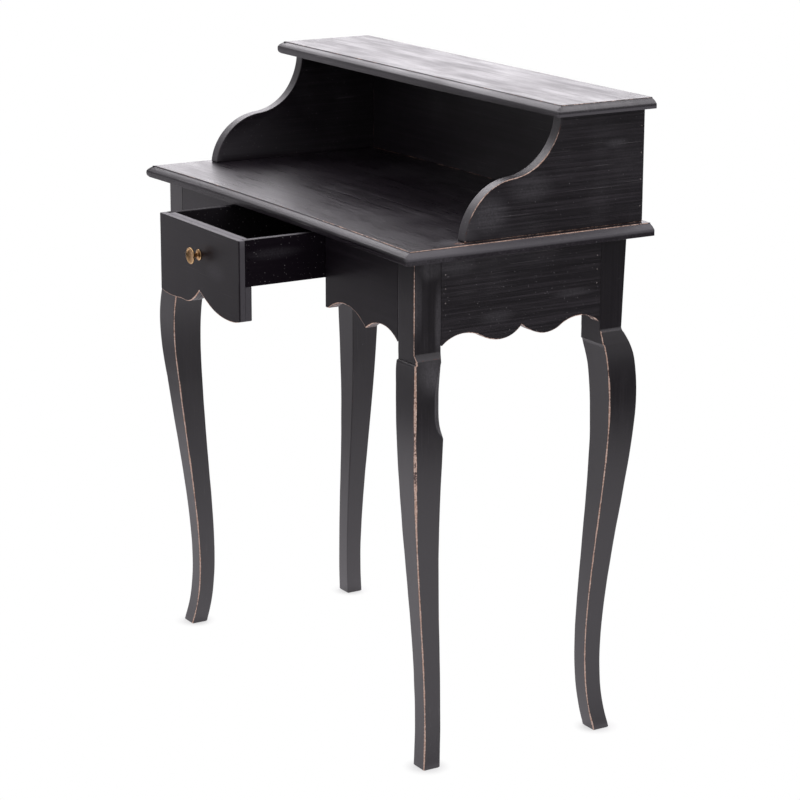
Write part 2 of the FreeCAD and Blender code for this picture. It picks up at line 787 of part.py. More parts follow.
def make_knob():
    waist = ("-(rosette_rim + rosette_thickness) / 2", "rosette_waist_radius")
    rosette = [
        ("0", "knob_bore"),
        ("0", "rosette_radius"),
        ("-rosette_rim", "rosette_radius"),
        (*waist, "-rosette_thickness", "rosette_small_radius"),
        ("-rosette_thickness", "knob_bore"),
    ]
    piece(turned("knob_rosette", "drawer_y", "knob_z", rosette), "knob_rosette")
    head_back = "-knob_reach + knob_head_thickness"
    bore_end = "-rosette_thickness - knob_screw_bite"
    dish = "-knob_reach + knob_dish"
    # The dish has three quarters of its depth at half of its radius.
    dish_middle = ("-knob_reach + knob_dish * 3 / 4", "(knob_radius - knob_rim) / 2")
    knob = [
        ("-rosette_thickness", "knob_bore"),
        ("-rosette_thickness", "knob_neck_radius"),
        (head_back, "knob_neck_radius"),
        (f"{head_back} - knob_back_rise", "knob_back_radius", dish, "knob_radius"),
        ("-knob_reach", "knob_radius - knob_edge"),
        ("-knob_reach", "knob_radius - knob_rim"),
        (*dish_middle, dish, "knob_dish_flat"),
        (dish, "0"),
        (bore_end, "0"),
        (bore_end, "knob_bore"),
    ]
    piece(turned("knob", "drawer_y", "knob_z", knob), "knob")
    shank_base = ("0", f"drawer_y + ({bore_end})", "knob_z")
    shank_length = "drawer_front_thickness + rosette_thickness + knob_screw_bite"
    shank = rod("knob_screw_shank", "y", shank_base, "knob_screw_radius", shank_length)
    head_base = ("0", "drawer_inner_y", "knob_z")
    head = rod("knob_screw_head", "y", head_base, "knob_screw_head_radius", "knob_screw_head_height")
    piece(fuse("knob_screw", [shank, head]), "knob_screw")


def check_and_write():
    """Stop on any failed object or bad shape, then write one file for each sub-part."""
    doc.recompute()
    for thing in doc.Objects:
        if {"Invalid", "Error"} & set(thing.State):
            raise RuntimeError(f"{thing.Label} failed: {thing.State}")
    for thing in pieces:
        if thing.Shape.isNull() or not thing.Shape.isValid() or not thing.Shape.Solids:
            raise RuntimeError(f"{thing.Label} has no valid solid")
    os.makedirs("parts", exist_ok=True)
    for thing in pieces:
        thing.Shape.exportStep(f"parts/{thing.Label}.step")
        print(thing.Label, len(thing.Shape.Solids), round(thing.Shape.Volume / 1000, 1), "cm3")


make_legs()
make_front_aprons()
make_side_aprons()
make_back_apron()
make_drawer_bay()
make_tabletop(make_cleats())
make_gallery()
make_gallery_shelf()
make_drawer()
make_knob()
check_and_write()
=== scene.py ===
"""Looks of a bonheur du jour: a small black writing desk, its edges worn to the wood."""
import json
import math
from collections import Counter

import bmesh
import bpy
from mathutils import Matrix, Vector, noise

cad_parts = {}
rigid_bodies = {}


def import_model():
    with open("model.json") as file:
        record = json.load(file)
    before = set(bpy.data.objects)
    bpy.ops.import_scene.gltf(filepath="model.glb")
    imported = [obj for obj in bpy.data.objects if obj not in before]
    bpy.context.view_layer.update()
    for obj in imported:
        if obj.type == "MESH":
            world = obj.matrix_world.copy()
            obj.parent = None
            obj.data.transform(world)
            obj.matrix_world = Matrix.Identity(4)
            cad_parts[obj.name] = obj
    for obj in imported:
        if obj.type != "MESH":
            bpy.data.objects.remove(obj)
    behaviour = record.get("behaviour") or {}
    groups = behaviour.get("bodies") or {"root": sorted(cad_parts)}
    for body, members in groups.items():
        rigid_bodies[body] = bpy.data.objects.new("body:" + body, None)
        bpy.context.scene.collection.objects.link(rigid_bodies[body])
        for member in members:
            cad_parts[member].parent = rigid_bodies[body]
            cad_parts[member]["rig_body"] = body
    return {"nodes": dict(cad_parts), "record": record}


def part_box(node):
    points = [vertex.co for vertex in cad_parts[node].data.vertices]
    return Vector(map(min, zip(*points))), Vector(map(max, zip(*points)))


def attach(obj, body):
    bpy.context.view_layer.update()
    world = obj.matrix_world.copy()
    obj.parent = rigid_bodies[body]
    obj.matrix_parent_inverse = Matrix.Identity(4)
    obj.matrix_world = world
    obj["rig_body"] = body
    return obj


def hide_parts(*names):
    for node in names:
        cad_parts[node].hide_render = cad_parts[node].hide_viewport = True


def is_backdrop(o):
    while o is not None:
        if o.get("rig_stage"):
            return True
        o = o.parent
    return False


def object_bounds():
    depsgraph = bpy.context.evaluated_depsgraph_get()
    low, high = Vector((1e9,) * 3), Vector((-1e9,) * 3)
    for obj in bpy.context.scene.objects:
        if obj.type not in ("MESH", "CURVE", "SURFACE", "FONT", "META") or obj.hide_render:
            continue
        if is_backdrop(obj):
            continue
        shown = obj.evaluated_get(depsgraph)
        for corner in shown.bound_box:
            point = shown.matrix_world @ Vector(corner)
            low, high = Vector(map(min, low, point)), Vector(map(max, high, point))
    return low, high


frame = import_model()
CAD_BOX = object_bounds()

# All lengths are in metres, in the frame of the CAD part: +Z up, front towards -Y
X, Y, Z = 0, 1, 2
MM = 0.001

# Points this close are one, and a point this close to an end belongs to it
SAME_PLACE = 0.002 * MM
AT_END = 1 * MM

# Camera
CAMERA_YAW = math.radians(58.43)
CAMERA_PITCH = math.radians(15.1)
CAMERA_ROLL = math.radians(0.2)
CAMERA_TARGET = Vector((0.0005, 0.0888, 0.4397))
CAMERA_DISTANCE = 4.1286
CAMERA_LENS = 120.2
CAMERA_SENSOR = 36.0

# The parts of a board's section, and its bevels, whose width varies along them
LOW, EDGE, HIGH = "low", "edge", "high"
BEVEL = 0.9 * MM
SEAM_BEVEL = 0.5 * MM
BEVEL_MEAN = 0.9
BEVEL_SWING = 0.5
BEVEL_PITCH = 45
BEVEL_SEED = 0.3
BEVEL_SOFTNESS = 0.3
CORNER_RADIUS = 1.6 * MM
CORNER_STEPS = 3
HARD_TURN = math.radians(20)
ACUTE_TURN = math.radians(105)
ACUTE_ROOM = 0.25
LONGEST_RUN = 12 * MM

# How much of the paint is rubbed off, and how far from an arris the wear reaches
WEAR_REACH = 1.5 * MM
EDGE_REACH = 0.4
ARRIS_SIDE = 0.8
RUBBED = 0.85
FRONT_RUBBED = 0.94
SIDE_RUBBED = 0.72
BACK_RUBBED = 0.6
CUT_EDGE_WEAR = 0.5
SLIGHT_WEAR = 0.3
FAINT_WEAR = 0.25
BOX_WEAR = 0.2
JOINT_WEAR = 0.1

# Boards reach this far into the one above, so that no light shows in the joint
JOINT_DEPTH = 1.2 * MM

# The writing top is arched along its length
TOP_BOW = 4.0 * MM
TOP_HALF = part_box("tabletop")[1].x


def bow(x):
    return TOP_BOW * (1 - (x / TOP_HALF) ** 2)


def bulge(place, middle, half, power=2):
    """1 at the middle, falling to 0 a half length before and after it."""
    return max(0.0, 1 - abs((place - middle) / half) ** power)


def soft_bulge(place, middle, half):
    """The same with soft ends."""
    return bulge(place, middle, half) ** 2


# Outlines read from the CAD faces


def face_outline(node, axis, high):
    """The outline of a node's furthest flat face along an axis, anticlockwise."""
    mesh = frame["nodes"][node].data
    low_corner, high_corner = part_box(node)
    level = high_corner[axis] if high else low_corner[axis]
    across = [other for other in (X, Y, Z) if other != axis]
    following = {}
    edges = Counter()
    for polygon in mesh.polygons:
        corners = [mesh.vertices[index].co for index in polygon.vertices]
        if any(abs(corner[axis] - level) > SAME_PLACE for corner in corners):
            continue
        flat = [tuple(round(corner[a], 6) for a in across) for corner in corners]
        edges.update(zip(flat, flat[1:] + flat[:1]))
    for start, end in edges:
        if (end, start) not in edges:
            following[start] = end
    loops = []
    while following:
        first, point = following.popitem()
        loop = [first]
        while point != first:
            loop.append(point)
            point = following.pop(point)
        loops.append([Vector(place) for place in loop])
    return anticlockwise(max(loops, key=loop_length))


def loop_length(points):
    return sum((b - a).length for a, b in zip(points, points[1:] + points[:1]))


def anticlockwise(points):
    area = sum(a.x * b.y - b.x * a.y for a, b in zip(points, points[1:] + points[:1]))
    return points if area > 0 else points[::-1]


def divided(points):
    """The outline with its long runs divided, so that wear can vary along them."""
    fine = []
    for start, end in zip(points, points[1:] + points[:1]):
        steps = max(1, math.ceil((end - start).length / LONGEST_RUN))
        fine += [start.lerp(end, step / steps) for step in range(steps)]
    return fine


def turns(points):
    """Each point with its inward normals before and after it and its turn."""
    count = len(points)
    for index, point in enumerate(points):
        before = (point - points[index - 1]).normalized()
        after = (points[(index + 1) % count] - point).normalized()
        turn = math.atan2(before.x * after.y - before.y * after.x, before.dot(after))
        yield point, Vector((-before.y, before.x)), Vector((-after.y, after.x)), turn


def inset_ring(points, inset):
    """The outline moved inwards by each point's own inset, with its hard corners rounded."""
    ring = []
    acute = [point for point, _, _, turn in turns(points) if turn > ACUTE_TURN]
    for point, normal_in, normal_out, turn in turns(points):
        mitre = (normal_in + normal_out) / (1 + normal_in.dot(normal_out))
        room = [(point - corner).length * ACUTE_ROOM for corner in acute]
        depth = min([inset(point), *room])
        if abs(turn) < HARD_TURN:
            ring.append(point + mitre * depth)
            continue
        for step in range(CORNER_STEPS + 1):
            if turn < 0 or depth >= CORNER_RADIUS:
                ring.append(point + mitre * depth)
            else:
                spoke = normal_in.lerp(normal_out, step / CORNER_STEPS).normalized()
                ring.append(point + mitre * CORNER_RADIUS - spoke * (CORNER_RADIUS - depth))
    return ring


def ring_values(points, value):
    """A value for each point of an inset ring, by the outline's own points."""
    values = []
    for point, _, _, turn in turns(points):
        values += [value(point)] * (1 if abs(turn) < HARD_TURN else CORNER_STEPS + 1)
    return values


# Meshes


def make_piece(node, name, builder, material):
    """A smooth-shaded piece from a finished bmesh, in its node's place, body and material slot."""
    mesh = bpy.data.meshes.new(name)
    bmesh.ops.remove_doubles(builder, verts=builder.verts, dist=SAME_PLACE)
    bmesh.ops.dissolve_degenerate(builder, edges=builder.edges, dist=SAME_PLACE)
    bmesh.ops.recalc_face_normals(builder, faces=builder.faces)
    builder.to_mesh(mesh)
    builder.free()
    mesh.shade_smooth()
    mesh.materials.append(material)
    thing = bpy.data.objects.new(name, mesh)
    bpy.context.scene.collection.objects.link(thing)
    weighted = thing.modifiers.new("flat faces", "WEIGHTED_NORMAL")
    weighted.weight = 100
    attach(thing, frame["nodes"][node]["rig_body"])
    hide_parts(node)


def add_rings(builder, rings):
    """Join rings of points, with their wear and their dusting and painted sheen, into a closed tube
    with flat ends.
    """
    layers = builder.verts.layers.float
    wear_layer = layers.get("wear") or layers.new("wear")
    dust_layer = layers.get("dust") or layers.new("dust")
    made = []
    for ring in rings:
        made.append([])
        for point, wear, dust in zip(*ring):
            vert = builder.verts.new(point)
            vert[wear_layer] = wear
            vert[dust_layer] = dust
            made[-1].append(vert)
    for lower, upper in zip(made, made[1:]):
        for index in range(len(lower)):
            builder.faces.new((lower[index - 1], lower[index], upper[index], upper[index - 1]))
    builder.faces.new(made[0])
    builder.faces.new(made[-1])


def spread(axis, flat, level):
    """A 3-D point from a 2-D one and its place along the axis."""
    place = list(flat)
    place.insert(axis, level)
    return Vector(place)


def always(amount):
    return lambda point, part: amount


none = always(0.0)


def uneven(point):
    """How much of its usual width a bevel has at a place."""
    place = Vector((point.x, point.y, BEVEL_SEED)) * BEVEL_PITCH
    return BEVEL_MEAN + BEVEL_SWING * noise.noise(place)


def add_profile(builder, axis, outline, profile, worn, dusty=none, warp=None):
    """Sweep a profile of (inset, level, wear, part) round an outline."""
    points = divided(outline)
    if warp:
        points = [warp(point) for point in points]
    rings = []
    for inset, level, wear, part in profile:
        flat = inset_ring(points, lambda point: inset * uneven(point))
        ring = [spread(axis, place, level) for place in flat]
        weights = ring_values(points, lambda point: wear * worn(point, part))
        rings.append((ring, weights, ring_values(points, lambda point: dusty(point, part))))
    add_rings(builder, rings)


def board_profile(low, high, bevel):
    """A board's section from one flat face over its edge to the other."""
    soft = bevel * BEVEL_SOFTNESS
    side_reach = min(WEAR_REACH, (high - low - 2 * bevel) * EDGE_REACH)
    arris = [
        (bevel + 2 * WEAR_REACH, 0, 0),
        (bevel + WEAR_REACH, 0, 0),
        (bevel, 0, ARRIS_SIDE),
        (soft, soft, 1),
        (0, bevel, ARRIS_SIDE),
    ]
    lower = [(inset, low + rise, wear, LOW) for inset, rise, wear in arris]
    upper = [(inset, high - rise, wear, HIGH) for inset, rise, wear in reversed(arris)]
    middle = [(0, low + bevel + side_reach, 1, EDGE), (0, high - bevel - side_reach, 1, EDGE)]
    return lower + middle + upper


def make_board(node, axis, high, material, worn, dusty=none, bevel=BEVEL, warp=None):
    """A board for a CAD node, with the outline of its furthest face along the axis."""
    builder = bmesh.new()
    low_corner, high_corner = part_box(node)
    profile = board_profile(low_corner[axis], high_corner[axis], bevel)
    add_profile(builder, axis, face_outline(node, axis, high), profile, worn, dusty, warp)
    make_piece(node, "wood_" + node, builder, material)


def add_turned(builder, base, axis, profile, segments):
    """Turn a profile of (radius, reach along the axis, polish) about an axis through the base."""
    frame_turn = Vector(axis).to_track_quat("Z", "Y").to_matrix()
    angles = [2 * math.pi * step / segments for step in range(segments)]
    spokes = [(math.cos(angle), math.sin(angle)) for angle in angles]
    rings = []
    for radius, reach, polish in profile:
        flat = [Vector((radius * x, radius * y, reach)) for x, y in spokes]
        ring = [Vector(base) + frame_turn @ place for place in flat]
        rings.append((ring, [polish] * segments, [0.0] * segments))
    add_rings(builder, rings)


# Materials

# A spot is full out to this share of its radii
SPOT_CORE = 0.2


class Shader:
    """The node tree of a material or world, with short names for what the finishes use."""

    def __init__(self, owner):
        self.owner = owner
        owner.use_nodes = True
        self.tree = owner.node_tree
        self.surface = self.tree.nodes.get("Principled BSDF") or self.tree.nodes["Background"]

    def add(self, kind, inputs=(), **settings):
        node = self.tree.nodes.new("ShaderNode" + kind)
        for key, value in settings.items():
            setattr(node, key, value)
        for key, value in dict(inputs).items():
            self.put(node.inputs[key], value)
        return node

    def put(self, socket, value):
        if isinstance(value, bpy.types.NodeSocket):
            self.tree.links.new(value, socket)
        else:
            socket.default_value = value

    def finish(self, **values):
        for name, value in values.items():
            self.put(self.surface.inputs[name.replace("_", " ")], value)

    def place(self):
        return self.add("TexCoord").outputs["Object"]

    def attribute(self, name):
        return self.add("Attribute", attribute_name=name).outputs["Fac"]

    def noise(self, scale, detail, roughness, vector=None):
        """Noise over the object's coordinates, or over another vector."""
        vector = self.place() if vector is None else vector
        inputs = {"Vector": vector, "Scale": scale, "Detail": detail, "Roughness": roughness}
        return self.add("TexNoise", inputs).outputs["Fac"]

    def grain(self, axis, along, across, detail, roughness):
        """Noise scaled by one number along an axis and by another across it."""
        scale = [across] * 3
        scale[axis] = along
        stretched = self.add("Mapping", {"Vector": self.place(), "Scale": scale})
        return self.noise(1, detail, roughness, stretched.outputs["Vector"])

    def calc(self, operation, first, second):
        return self.add("Math", {0: first, 1: second}, operation=operation).outputs[0]

    def weighed(self, first, weight, second, second_weight):
        """A weighted sum of two values."""
        inputs = {0: first, 1: weight, 2: self.calc("MULTIPLY", second, second_weight)}
        return self.add("Math", inputs, operation="MULTIPLY_ADD").outputs[0]

    def between(self, value, low, high, to_low=0.0, to_high=1.0):
        """to_low below low, to_high above high, and smooth between."""
        inputs = {"Value": value, "From Min": low, "From Max": high}
        inputs.update({"To Min": to_low, "To Max": to_high})
        return self.add("MapRange", inputs, interpolation_type="SMOOTHSTEP").outputs["Result"]

    def mix(self, share, first, second):
        """A mix of two colours; their sockets come after those for numbers and vectors."""
        inputs = {0: share, 6: first, 7: second}
        return self.add("Mix", inputs, data_type="RGBA").outputs[2]

    def mix_value(self, share, first, second):
        inputs = {"Factor": share, "A": first, "B": second}
        return self.add("Mix", inputs, data_type="FLOAT").outputs["Result"]

    def bump(self, height, strength, distance):
        inputs = {"Height": height, "Strength": strength, "Distance": distance}
        self.finish(Normal=self.add("Bump", inputs).outputs["Normal"])

    def show(self, share, first, second):
        """Show a mix of two surfaces."""
        mixed = self.add("MixShader", {0: share, 1: first.outputs[0], 2: second.outputs[0]})
        output = next(node for node in self.tree.nodes if node.type.startswith("OUTPUT"))
        self.put(output.inputs["Surface"], mixed.outputs[0])

    def vector(self, operation, first, second=(0, 0, 0)):
        return self.add("VectorMath", {0: first, 1: second}, operation=operation).outputs

    def distance(self, centre, radii=(1, 1, 1)):
        """How far a place is from a centre, in radii."""
        moved = self.vector("SUBTRACT", self.place(), centre)[0]
        return self.vector("LENGTH", self.vector("DIVIDE", moved, radii)[0])["Value"]

    def spots(self, places):
        """The strongest of some soft ellipsoids, given by centre, radii and strength."""
        total = 0.0
        for centre, radii, strength in places:
            spot = self.between(self.distance(centre, radii), SPOT_CORE, 1.0, strength, 0.0)
            total = self.calc("MAXIMUM", total, spot)
        return total


PAINT_DEEP = (0.0080, 0.0056, 0.0088, 1)
PAINT_STREAK = (0.036, 0.028, 0.037, 1)
# The grey of dust, which also paints sheen and highlights on faces where light is reflected
PAINT_HAZE_AND_SHEEN = (0.135, 0.130, 0.142, 1)
PAINT_SCRATCH = (0.20, 0.19, 0.195, 1)
PAINT_SPECK = (0.50, 0.49, 0.49, 1)
BARE_PALE = (0.93, 0.71, 0.59, 1)
BARE_DARK = (0.60, 0.36, 0.25, 1)
PRIMER = (0.085, 0.030, 0.021, 1)

# Brushed textures of the paint: scale along and across the grain, detail and roughness
BROAD_STROKES = (3.5, 360, 5, 0.65)
FINE_STROKES = (14, 1300, 3, 0.6)
BLOTCHES = (8, 48, 5, 0.6)
HAIRS = (7, 700, 2, 0.5)

# Even textures of the paint: scale, detail and roughness
CLOUDS = (7, 3, 0.55)
SPECKLE = (330, 4, 0.7)
FLECKS = (400, 2, 0.5)
PATCHES = (40, 4, 0.6)
RAGGED = (420, 3, 0.6)

# Where in its texture each effect starts and is full
STREAK_RANGE = (0.45, 0.64)
CLOUD_RANGE = (0.47, 0.72)
GRAIN_RANGE = (0.40, 0.62)
HAIR_RANGE = (0.66, 0.74)
SCRATCHED_RANGE = (0.44, 0.62)
WOOD_RANGE = (0.35, 0.65)
PRIMER_RANGE = (0.42, 0.58)
BARE_RANGE = (0.60, 0.70)
GLOSS_RANGE = (0.38, 0.62)

# How much each effect counts
MOST, REST = 0.6, 0.4
CLOUD_DUST = 0.24
LEAST_GRAIN = 0.45
SPECK_RAMP = 0.05
SPECK_STRENGTH = 0.6
RAGGED_WEIGHT = 0.7
HOLD_MEAN = 0.85
HAZE_AND_SHEEN_ROUGHNESS = 0.6
BARE_ROUGHNESS = 0.75
BARE_DEPTH = 0.4
RELIEF_HEIGHT = 0.8 * MM

# Where dust, rubbing, and painted sheen and highlights show on flat faces: centre, radii and
# strength
LEG_DUST = [
    ((0.372, -0.092, 0.583), (0.030, 0.030, 0.036), 0.6),
    ((0.369, -0.110, 0.690), (0.006, 0.012, 0.070), 0.4),
    ((0.369, -0.075, 0.660), (0.006, 0.010, 0.070), 0.45),
    ((0.369, -0.090, 0.735), (0.006, 0.030, 0.022), 0.4),
]
BOARD_DUST = [
    ((0.375, 0.000, 0.800), (0.012, 0.045, 0.040), 0.5),
    ((0.375, 0.070, 0.835), (0.012, 0.050, 0.030), 0.3),
    ((0.375, 0.215, 0.885), (0.012, 0.030, 0.010), 0.4),
    ((0.369, -0.045, 0.735), (0.012, 0.050, 0.020), 0.4),
    ((0.369, 0.150, 0.675), (0.012, 0.045, 0.008), 0.3),
    ((0.369, 0.020, 0.655), (0.012, 0.040, 0.012), 0.25),
]
# A painted highlight along the top of the drawer's right side
DRAWER_PAINTED_HIGHLIGHT = [((0.124, -0.200, 0.725), (0.012, 0.060, 0.012), 0.2)]
# Painted sheen: lighter patches on the left front apron and the drawer front where reflections fall
FRONT_PAINTED_SHEEN = [
    ((-0.250, -0.1155, 0.690), (0.140, 0.030, 0.090), 0.3),
    ((0.050, -0.2555, 0.690), (0.040, 0.030, 0.020), 0.2),
]
# Dust on the top, and painted sheen on the slope of its right end
TOP_DUST_AND_SHEEN = [
    ((0.365, -0.050, 0.766), (0.030, 0.035, 0.020), 0.55),
    ((0.300, -0.090, 0.768), (0.080, 0.030, 0.020), 0.2),
    ((0.398, -0.110, 0.755), (0.012, 0.090, 0.014), 0.45),
]
TOP_RUBBED = [
    ((0.382, 0.090, 0.766), (0.010, 0.040, 0.010), 0.52),
    ((0.372, -0.045, 0.766), (0.016, 0.030, 0.010), 0.55),
]


def paint_material(
    name, axis, brush, gloss, relief, ior, blotched=0.1, specked=0.78, dusty=(), rubbed=(),
):
    """Black satin paint brushed along an axis, scratched, dusted, lightened by painted sheen in
    places, and rubbed through on the arrises.
    """
    shader = Shader(bpy.data.materials.new(name))
    broad = shader.grain(axis, *BROAD_STROKES)
    brushed = shader.weighed(broad, MOST, shader.grain(axis, *FINE_STROKES), REST)
    streaks = shader.calc("MULTIPLY", shader.between(brushed, *STREAK_RANGE), brush)
    clouds = shader.noise(*CLOUDS)
    cloudy = shader.calc("MULTIPLY", shader.between(clouds, *CLOUD_RANGE), CLOUD_DUST * brush)
    grain = shader.weighed(shader.noise(*SPECKLE), MOST, broad, REST)
    grainy = shader.between(grain, *GRAIN_RANGE, LEAST_GRAIN, 1.0)
    # Dust haze, and the painted sheen and highlights from the spots and the vertex layer, turn the
    # paint towards grey
    dust = shader.calc("MAXIMUM", cloudy, shader.spots(dusty))
    haze_and_sheen = shader.calc("MULTIPLY", dust, grainy)
    haze_and_sheen = shader.calc("MAXIMUM", haze_and_sheen, shader.attribute("dust"))
    colour = shader.mix(streaks, PAINT_DEEP, PAINT_STREAK)
    colour = shader.mix(haze_and_sheen, colour, PAINT_HAZE_AND_SHEEN)

    hairs = shader.between(shader.grain(axis, *HAIRS), *HAIR_RANGE)
    scratches = shader.calc("MULTIPLY", hairs, shader.between(clouds, *SCRATCHED_RANGE))
    colour = shader.mix(shader.calc("MULTIPLY", scratches, brush), colour, PAINT_SCRATCH)
    flecks = shader.noise(*FLECKS)
    specks = shader.between(flecks, specked, specked + SPECK_RAMP, 0.0, SPECK_STRENGTH)
    colour = shader.mix(specks, colour, PAINT_SPECK)

    ragged = shader.noise(*RAGGED)
    patches = shader.weighed(shader.noise(*PATCHES), 1.0, ragged, RAGGED_WEIGHT)
    worn = shader.calc("MAXIMUM", shader.attribute("wear"), shader.spots(rubbed))
    rub = shader.calc("ADD", worn, shader.calc("ADD", patches, -HOLD_MEAN))
    bare = shader.between(rub, *BARE_RANGE)
    wood = shader.mix(shader.between(ragged, *WOOD_RANGE), BARE_DARK, BARE_PALE)
    colour = shader.mix(shader.between(rub, *PRIMER_RANGE), colour, PRIMER)
    colour = shader.mix(bare, colour, wood)

    texture = shader.weighed(brushed, 1 - blotched, shader.grain(axis, *BLOTCHES), blotched)
    satin = shader.mix_value(shader.between(texture, *GLOSS_RANGE), *gloss)
    satin = shader.mix_value(haze_and_sheen, satin, HAZE_AND_SHEEN_ROUGHNESS)
    roughness = shader.mix_value(bare, satin, BARE_ROUGHNESS)
    shader.finish(Base_Color=colour, Roughness=roughness, IOR=ior)
    shader.bump(shader.weighed(texture, 1.0, bare, -BARE_DEPTH), relief, RELIEF_HEIGHT)
    return shader.owner


WOOD_DARK = (0.20, 0.115, 0.06, 1)
WOOD_LIGHT = (0.36, 0.235, 0.135, 1)
BRASS_BROWN = (0.40, 0.22, 0.09, 1)
BRASS_BRIGHT = (0.76, 0.50, 0.25, 1)
STEEL_DARK = (0.22, 0.20, 0.19, 1)
STEEL_LIGHT = (0.42, 0.42, 0.42, 1)
NAIL_DARK = (0.12, 0.10, 0.09, 1)
NAIL_LIGHT = (0.42, 0.38, 0.36, 1)


def bare_wood_material(name, axis):
    """Planed wood of the pieces inside, darkened by age."""
    shader = Shader(bpy.data.materials.new(name))
    rings = shader.grain(axis, along=4, across=90, detail=5, roughness=0.6)
    fibres = shader.grain(axis, along=30, across=1100, detail=3, roughness=0.6)
    share = shader.between(shader.weighed(rings, 0.7, fibres, 0.3), low=0.3, high=0.7)
    colour = shader.mix(share, WOOD_DARK, WOOD_LIGHT)
    shader.finish(Base_Color=colour, Roughness=shader.mix_value(rings, 0.6, 0.8))
    shader.bump(fibres, strength=0.2, distance=0.5 * MM)
    return shader.owner


def brass_material(name):
    """Old brass: brown in the hollows, bright where hands rub it."""
    shader = Shader(bpy.data.materials.new(name))
    tarnish = shader.noise(scale=260, detail=5, roughness=0.62)
    share = shader.weighed(shader.attribute("wear"), 1.0, tarnish, -0.6)
    rubbed = shader.between(share, low=-0.35, high=0.55)
    colour = shader.mix(rubbed, BRASS_BROWN, BRASS_BRIGHT)
    roughness = shader.mix_value(rubbed, 0.5, 0.3)
    shader.finish(Base_Color=colour, Metallic=1.0, Roughness=roughness)
    shader.bump(tarnish, strength=0.08, distance=0.3 * MM)
    return shader.owner


def stained_material(name, stain, shades, dark, light, roughness, metallic):
    """Dull stains between two colours: of steel, or of paint that is rubbed off."""
    shader = Shader(bpy.data.materials.new(name))
    stains = shader.noise(*stain)
    colour = shader.mix(shader.between(stains, *shades), dark, light)
    roughness = shader.mix_value(stains, *roughness)
    shader.finish(Base_Color=colour, Metallic=metallic, Roughness=roughness)
    return shader.owner


# Each paint with its grain's axis, brush marks, least and most roughness, relief and IOR
LEG_PAINT = paint_material("black_paint_legs", Z, 0.2, (0.34, 0.40), 0.06, 1.75, dusty=LEG_DUST)
FRONT_PAINT = paint_material(
    "black_paint_front", X, 0.25, (0.36, 0.42), 0.1, 1.43, dusty=FRONT_PAINTED_SHEEN,
)
PANEL_PAINT = paint_material("black_paint_panel", X, 0.6, (0.36, 0.42), 0.1, 1.62)
SIDE_PAINT = paint_material(
    "black_paint_sides", Y, 0.75, (0.34, 0.44), 0.18, 1.74, specked=0.715, dusty=BOARD_DUST,
)
DRAWER_PAINT = paint_material(
    "black_paint_drawer", Y, 0.05, (0.30, 0.36), 0.1, 1.18, specked=0.70, dusty=DRAWER_PAINTED_HIGHLIGHT,
)
ROUGH_PAINT = paint_material(
    "black_paint_rough", Y, 0.1, (0.75, 0.85), 0.1, 1.4, specked=0.68,
)
TOP_PAINT = paint_material(
    "black_paint_top", X, 0.9, (0.25, 0.40), 0.6, 1.45, blotched=0.25, specked=0.74,
    dusty=TOP_DUST_AND_SHEEN, rubbed=TOP_RUBBED,
)
SHELF_PAINT = paint_material("black_paint_shelf", X, 0.9, (0.28, 0.44), 0.5, 1.65, blotched=0.55)
BARE = {axis: bare_wood_material("bare_wood_" + "xyz"[axis], axis) for axis in (X, Y, Z)}
BRASS = brass_material("old_brass")
STEEL = stained_material(
    "dull_steel", (500, 4, 0.6), (0.35, 0.7), STEEL_DARK, STEEL_LIGHT, (0.35, 0.6), 1.0,
)
NAIL_HEADS = stained_material(
    "worn_nail_heads", (900, 3, 0.6), (0.4, 0.6), NAIL_DARK, NAIL_LIGHT, (0.5, 0.5), 0.0,
)


# Legs

LEG_LEVELS = 110
POST_LEVELS = 16
POST_WIDTH = 44 * MM
LEG_CHAMFER = 1.1 * MM
POST_CHAMFER = 0.7 * MM
SOLE_CHAMFER = 1.5 * MM
UNDER_SHOULDER = 0.1 * MM
LEDGE_LOOP = 1.5 * MM
LEDGE_DUST = 0.3
LEDGE_WEAR = 0.45
ARRIS_WEAR = (0.0, ARRIS_SIDE, 1.0, ARRIS_SIDE, 0.0)

# Narrow cuts vary along the leg and are nearly flat, wide ones are even and rounder
WIDE_CUT = 4 * MM
CUT_SWING = 0.5
CUT_PITCH_ACROSS = 9
CUT_PITCH_UP = 30
NARROW_BELLY = 0.4
WIDE_BELLY = 0.54

# How worn each arris is on the curved leg and on its post:
# left front, right front, right back, left back
LEG_WEAR = {
    "leg_front_right": ((0.45, 1.0, 0.45, 0.7), (0.1, 0.78, 0.1, 0.1)),
    "leg_front_left": ((0.45, 0.91, 0.4, 0.7), (0.45, 0.1, 0.1, 0.1)),
    "leg_back_right": ((0.45, 0.88, 0.4, 0.7), (0.1, 0.1, 0.4, 0.1)),
    "leg_back_left": ((0.45, 0.2, 0.4, 0.8), (0.1, 0.1, 0.1, 0.7)),
}
RIGHT_FRONT, RIGHT_BACK = 1, 2
LEDGE_RISE = {
    "leg_front_right": 8 * MM,
    "leg_front_left": 5 * MM,
    "leg_back_right": 2.5 * MM,
    "leg_back_left": 4 * MM,
}

# The right shoulders stand a little higher, but their ledges lie lower on the front faces
LEDGE_LIFT = {"leg_front_right": 3 * MM, "leg_back_right": 6 * MM}
LIFT_START = 500 * MM
FRONT_LEDGE = {"leg_front_right": 5 * MM, "leg_back_right": 16 * MM}
LEDGE_STEP = 0.3 * MM
FRONT_POINTS = range(3, 7)

# The front right leg: a dusty scoop out of its back arris and a wide worn flat on its front arris
SCOOP_MIDDLE = 552 * MM
SCOOP_HALF = 54 * MM
SCOOP_DEPTH = 14.5 * MM
SCOOP_DUST = 0.45
INNER_DUST = 0.4
FLAT_MIDDLE = 480 * MM
FLAT_HALF = 130 * MM
FLAT_EXTRA = 1.5 * MM
FLAT_PAINT = 0.3

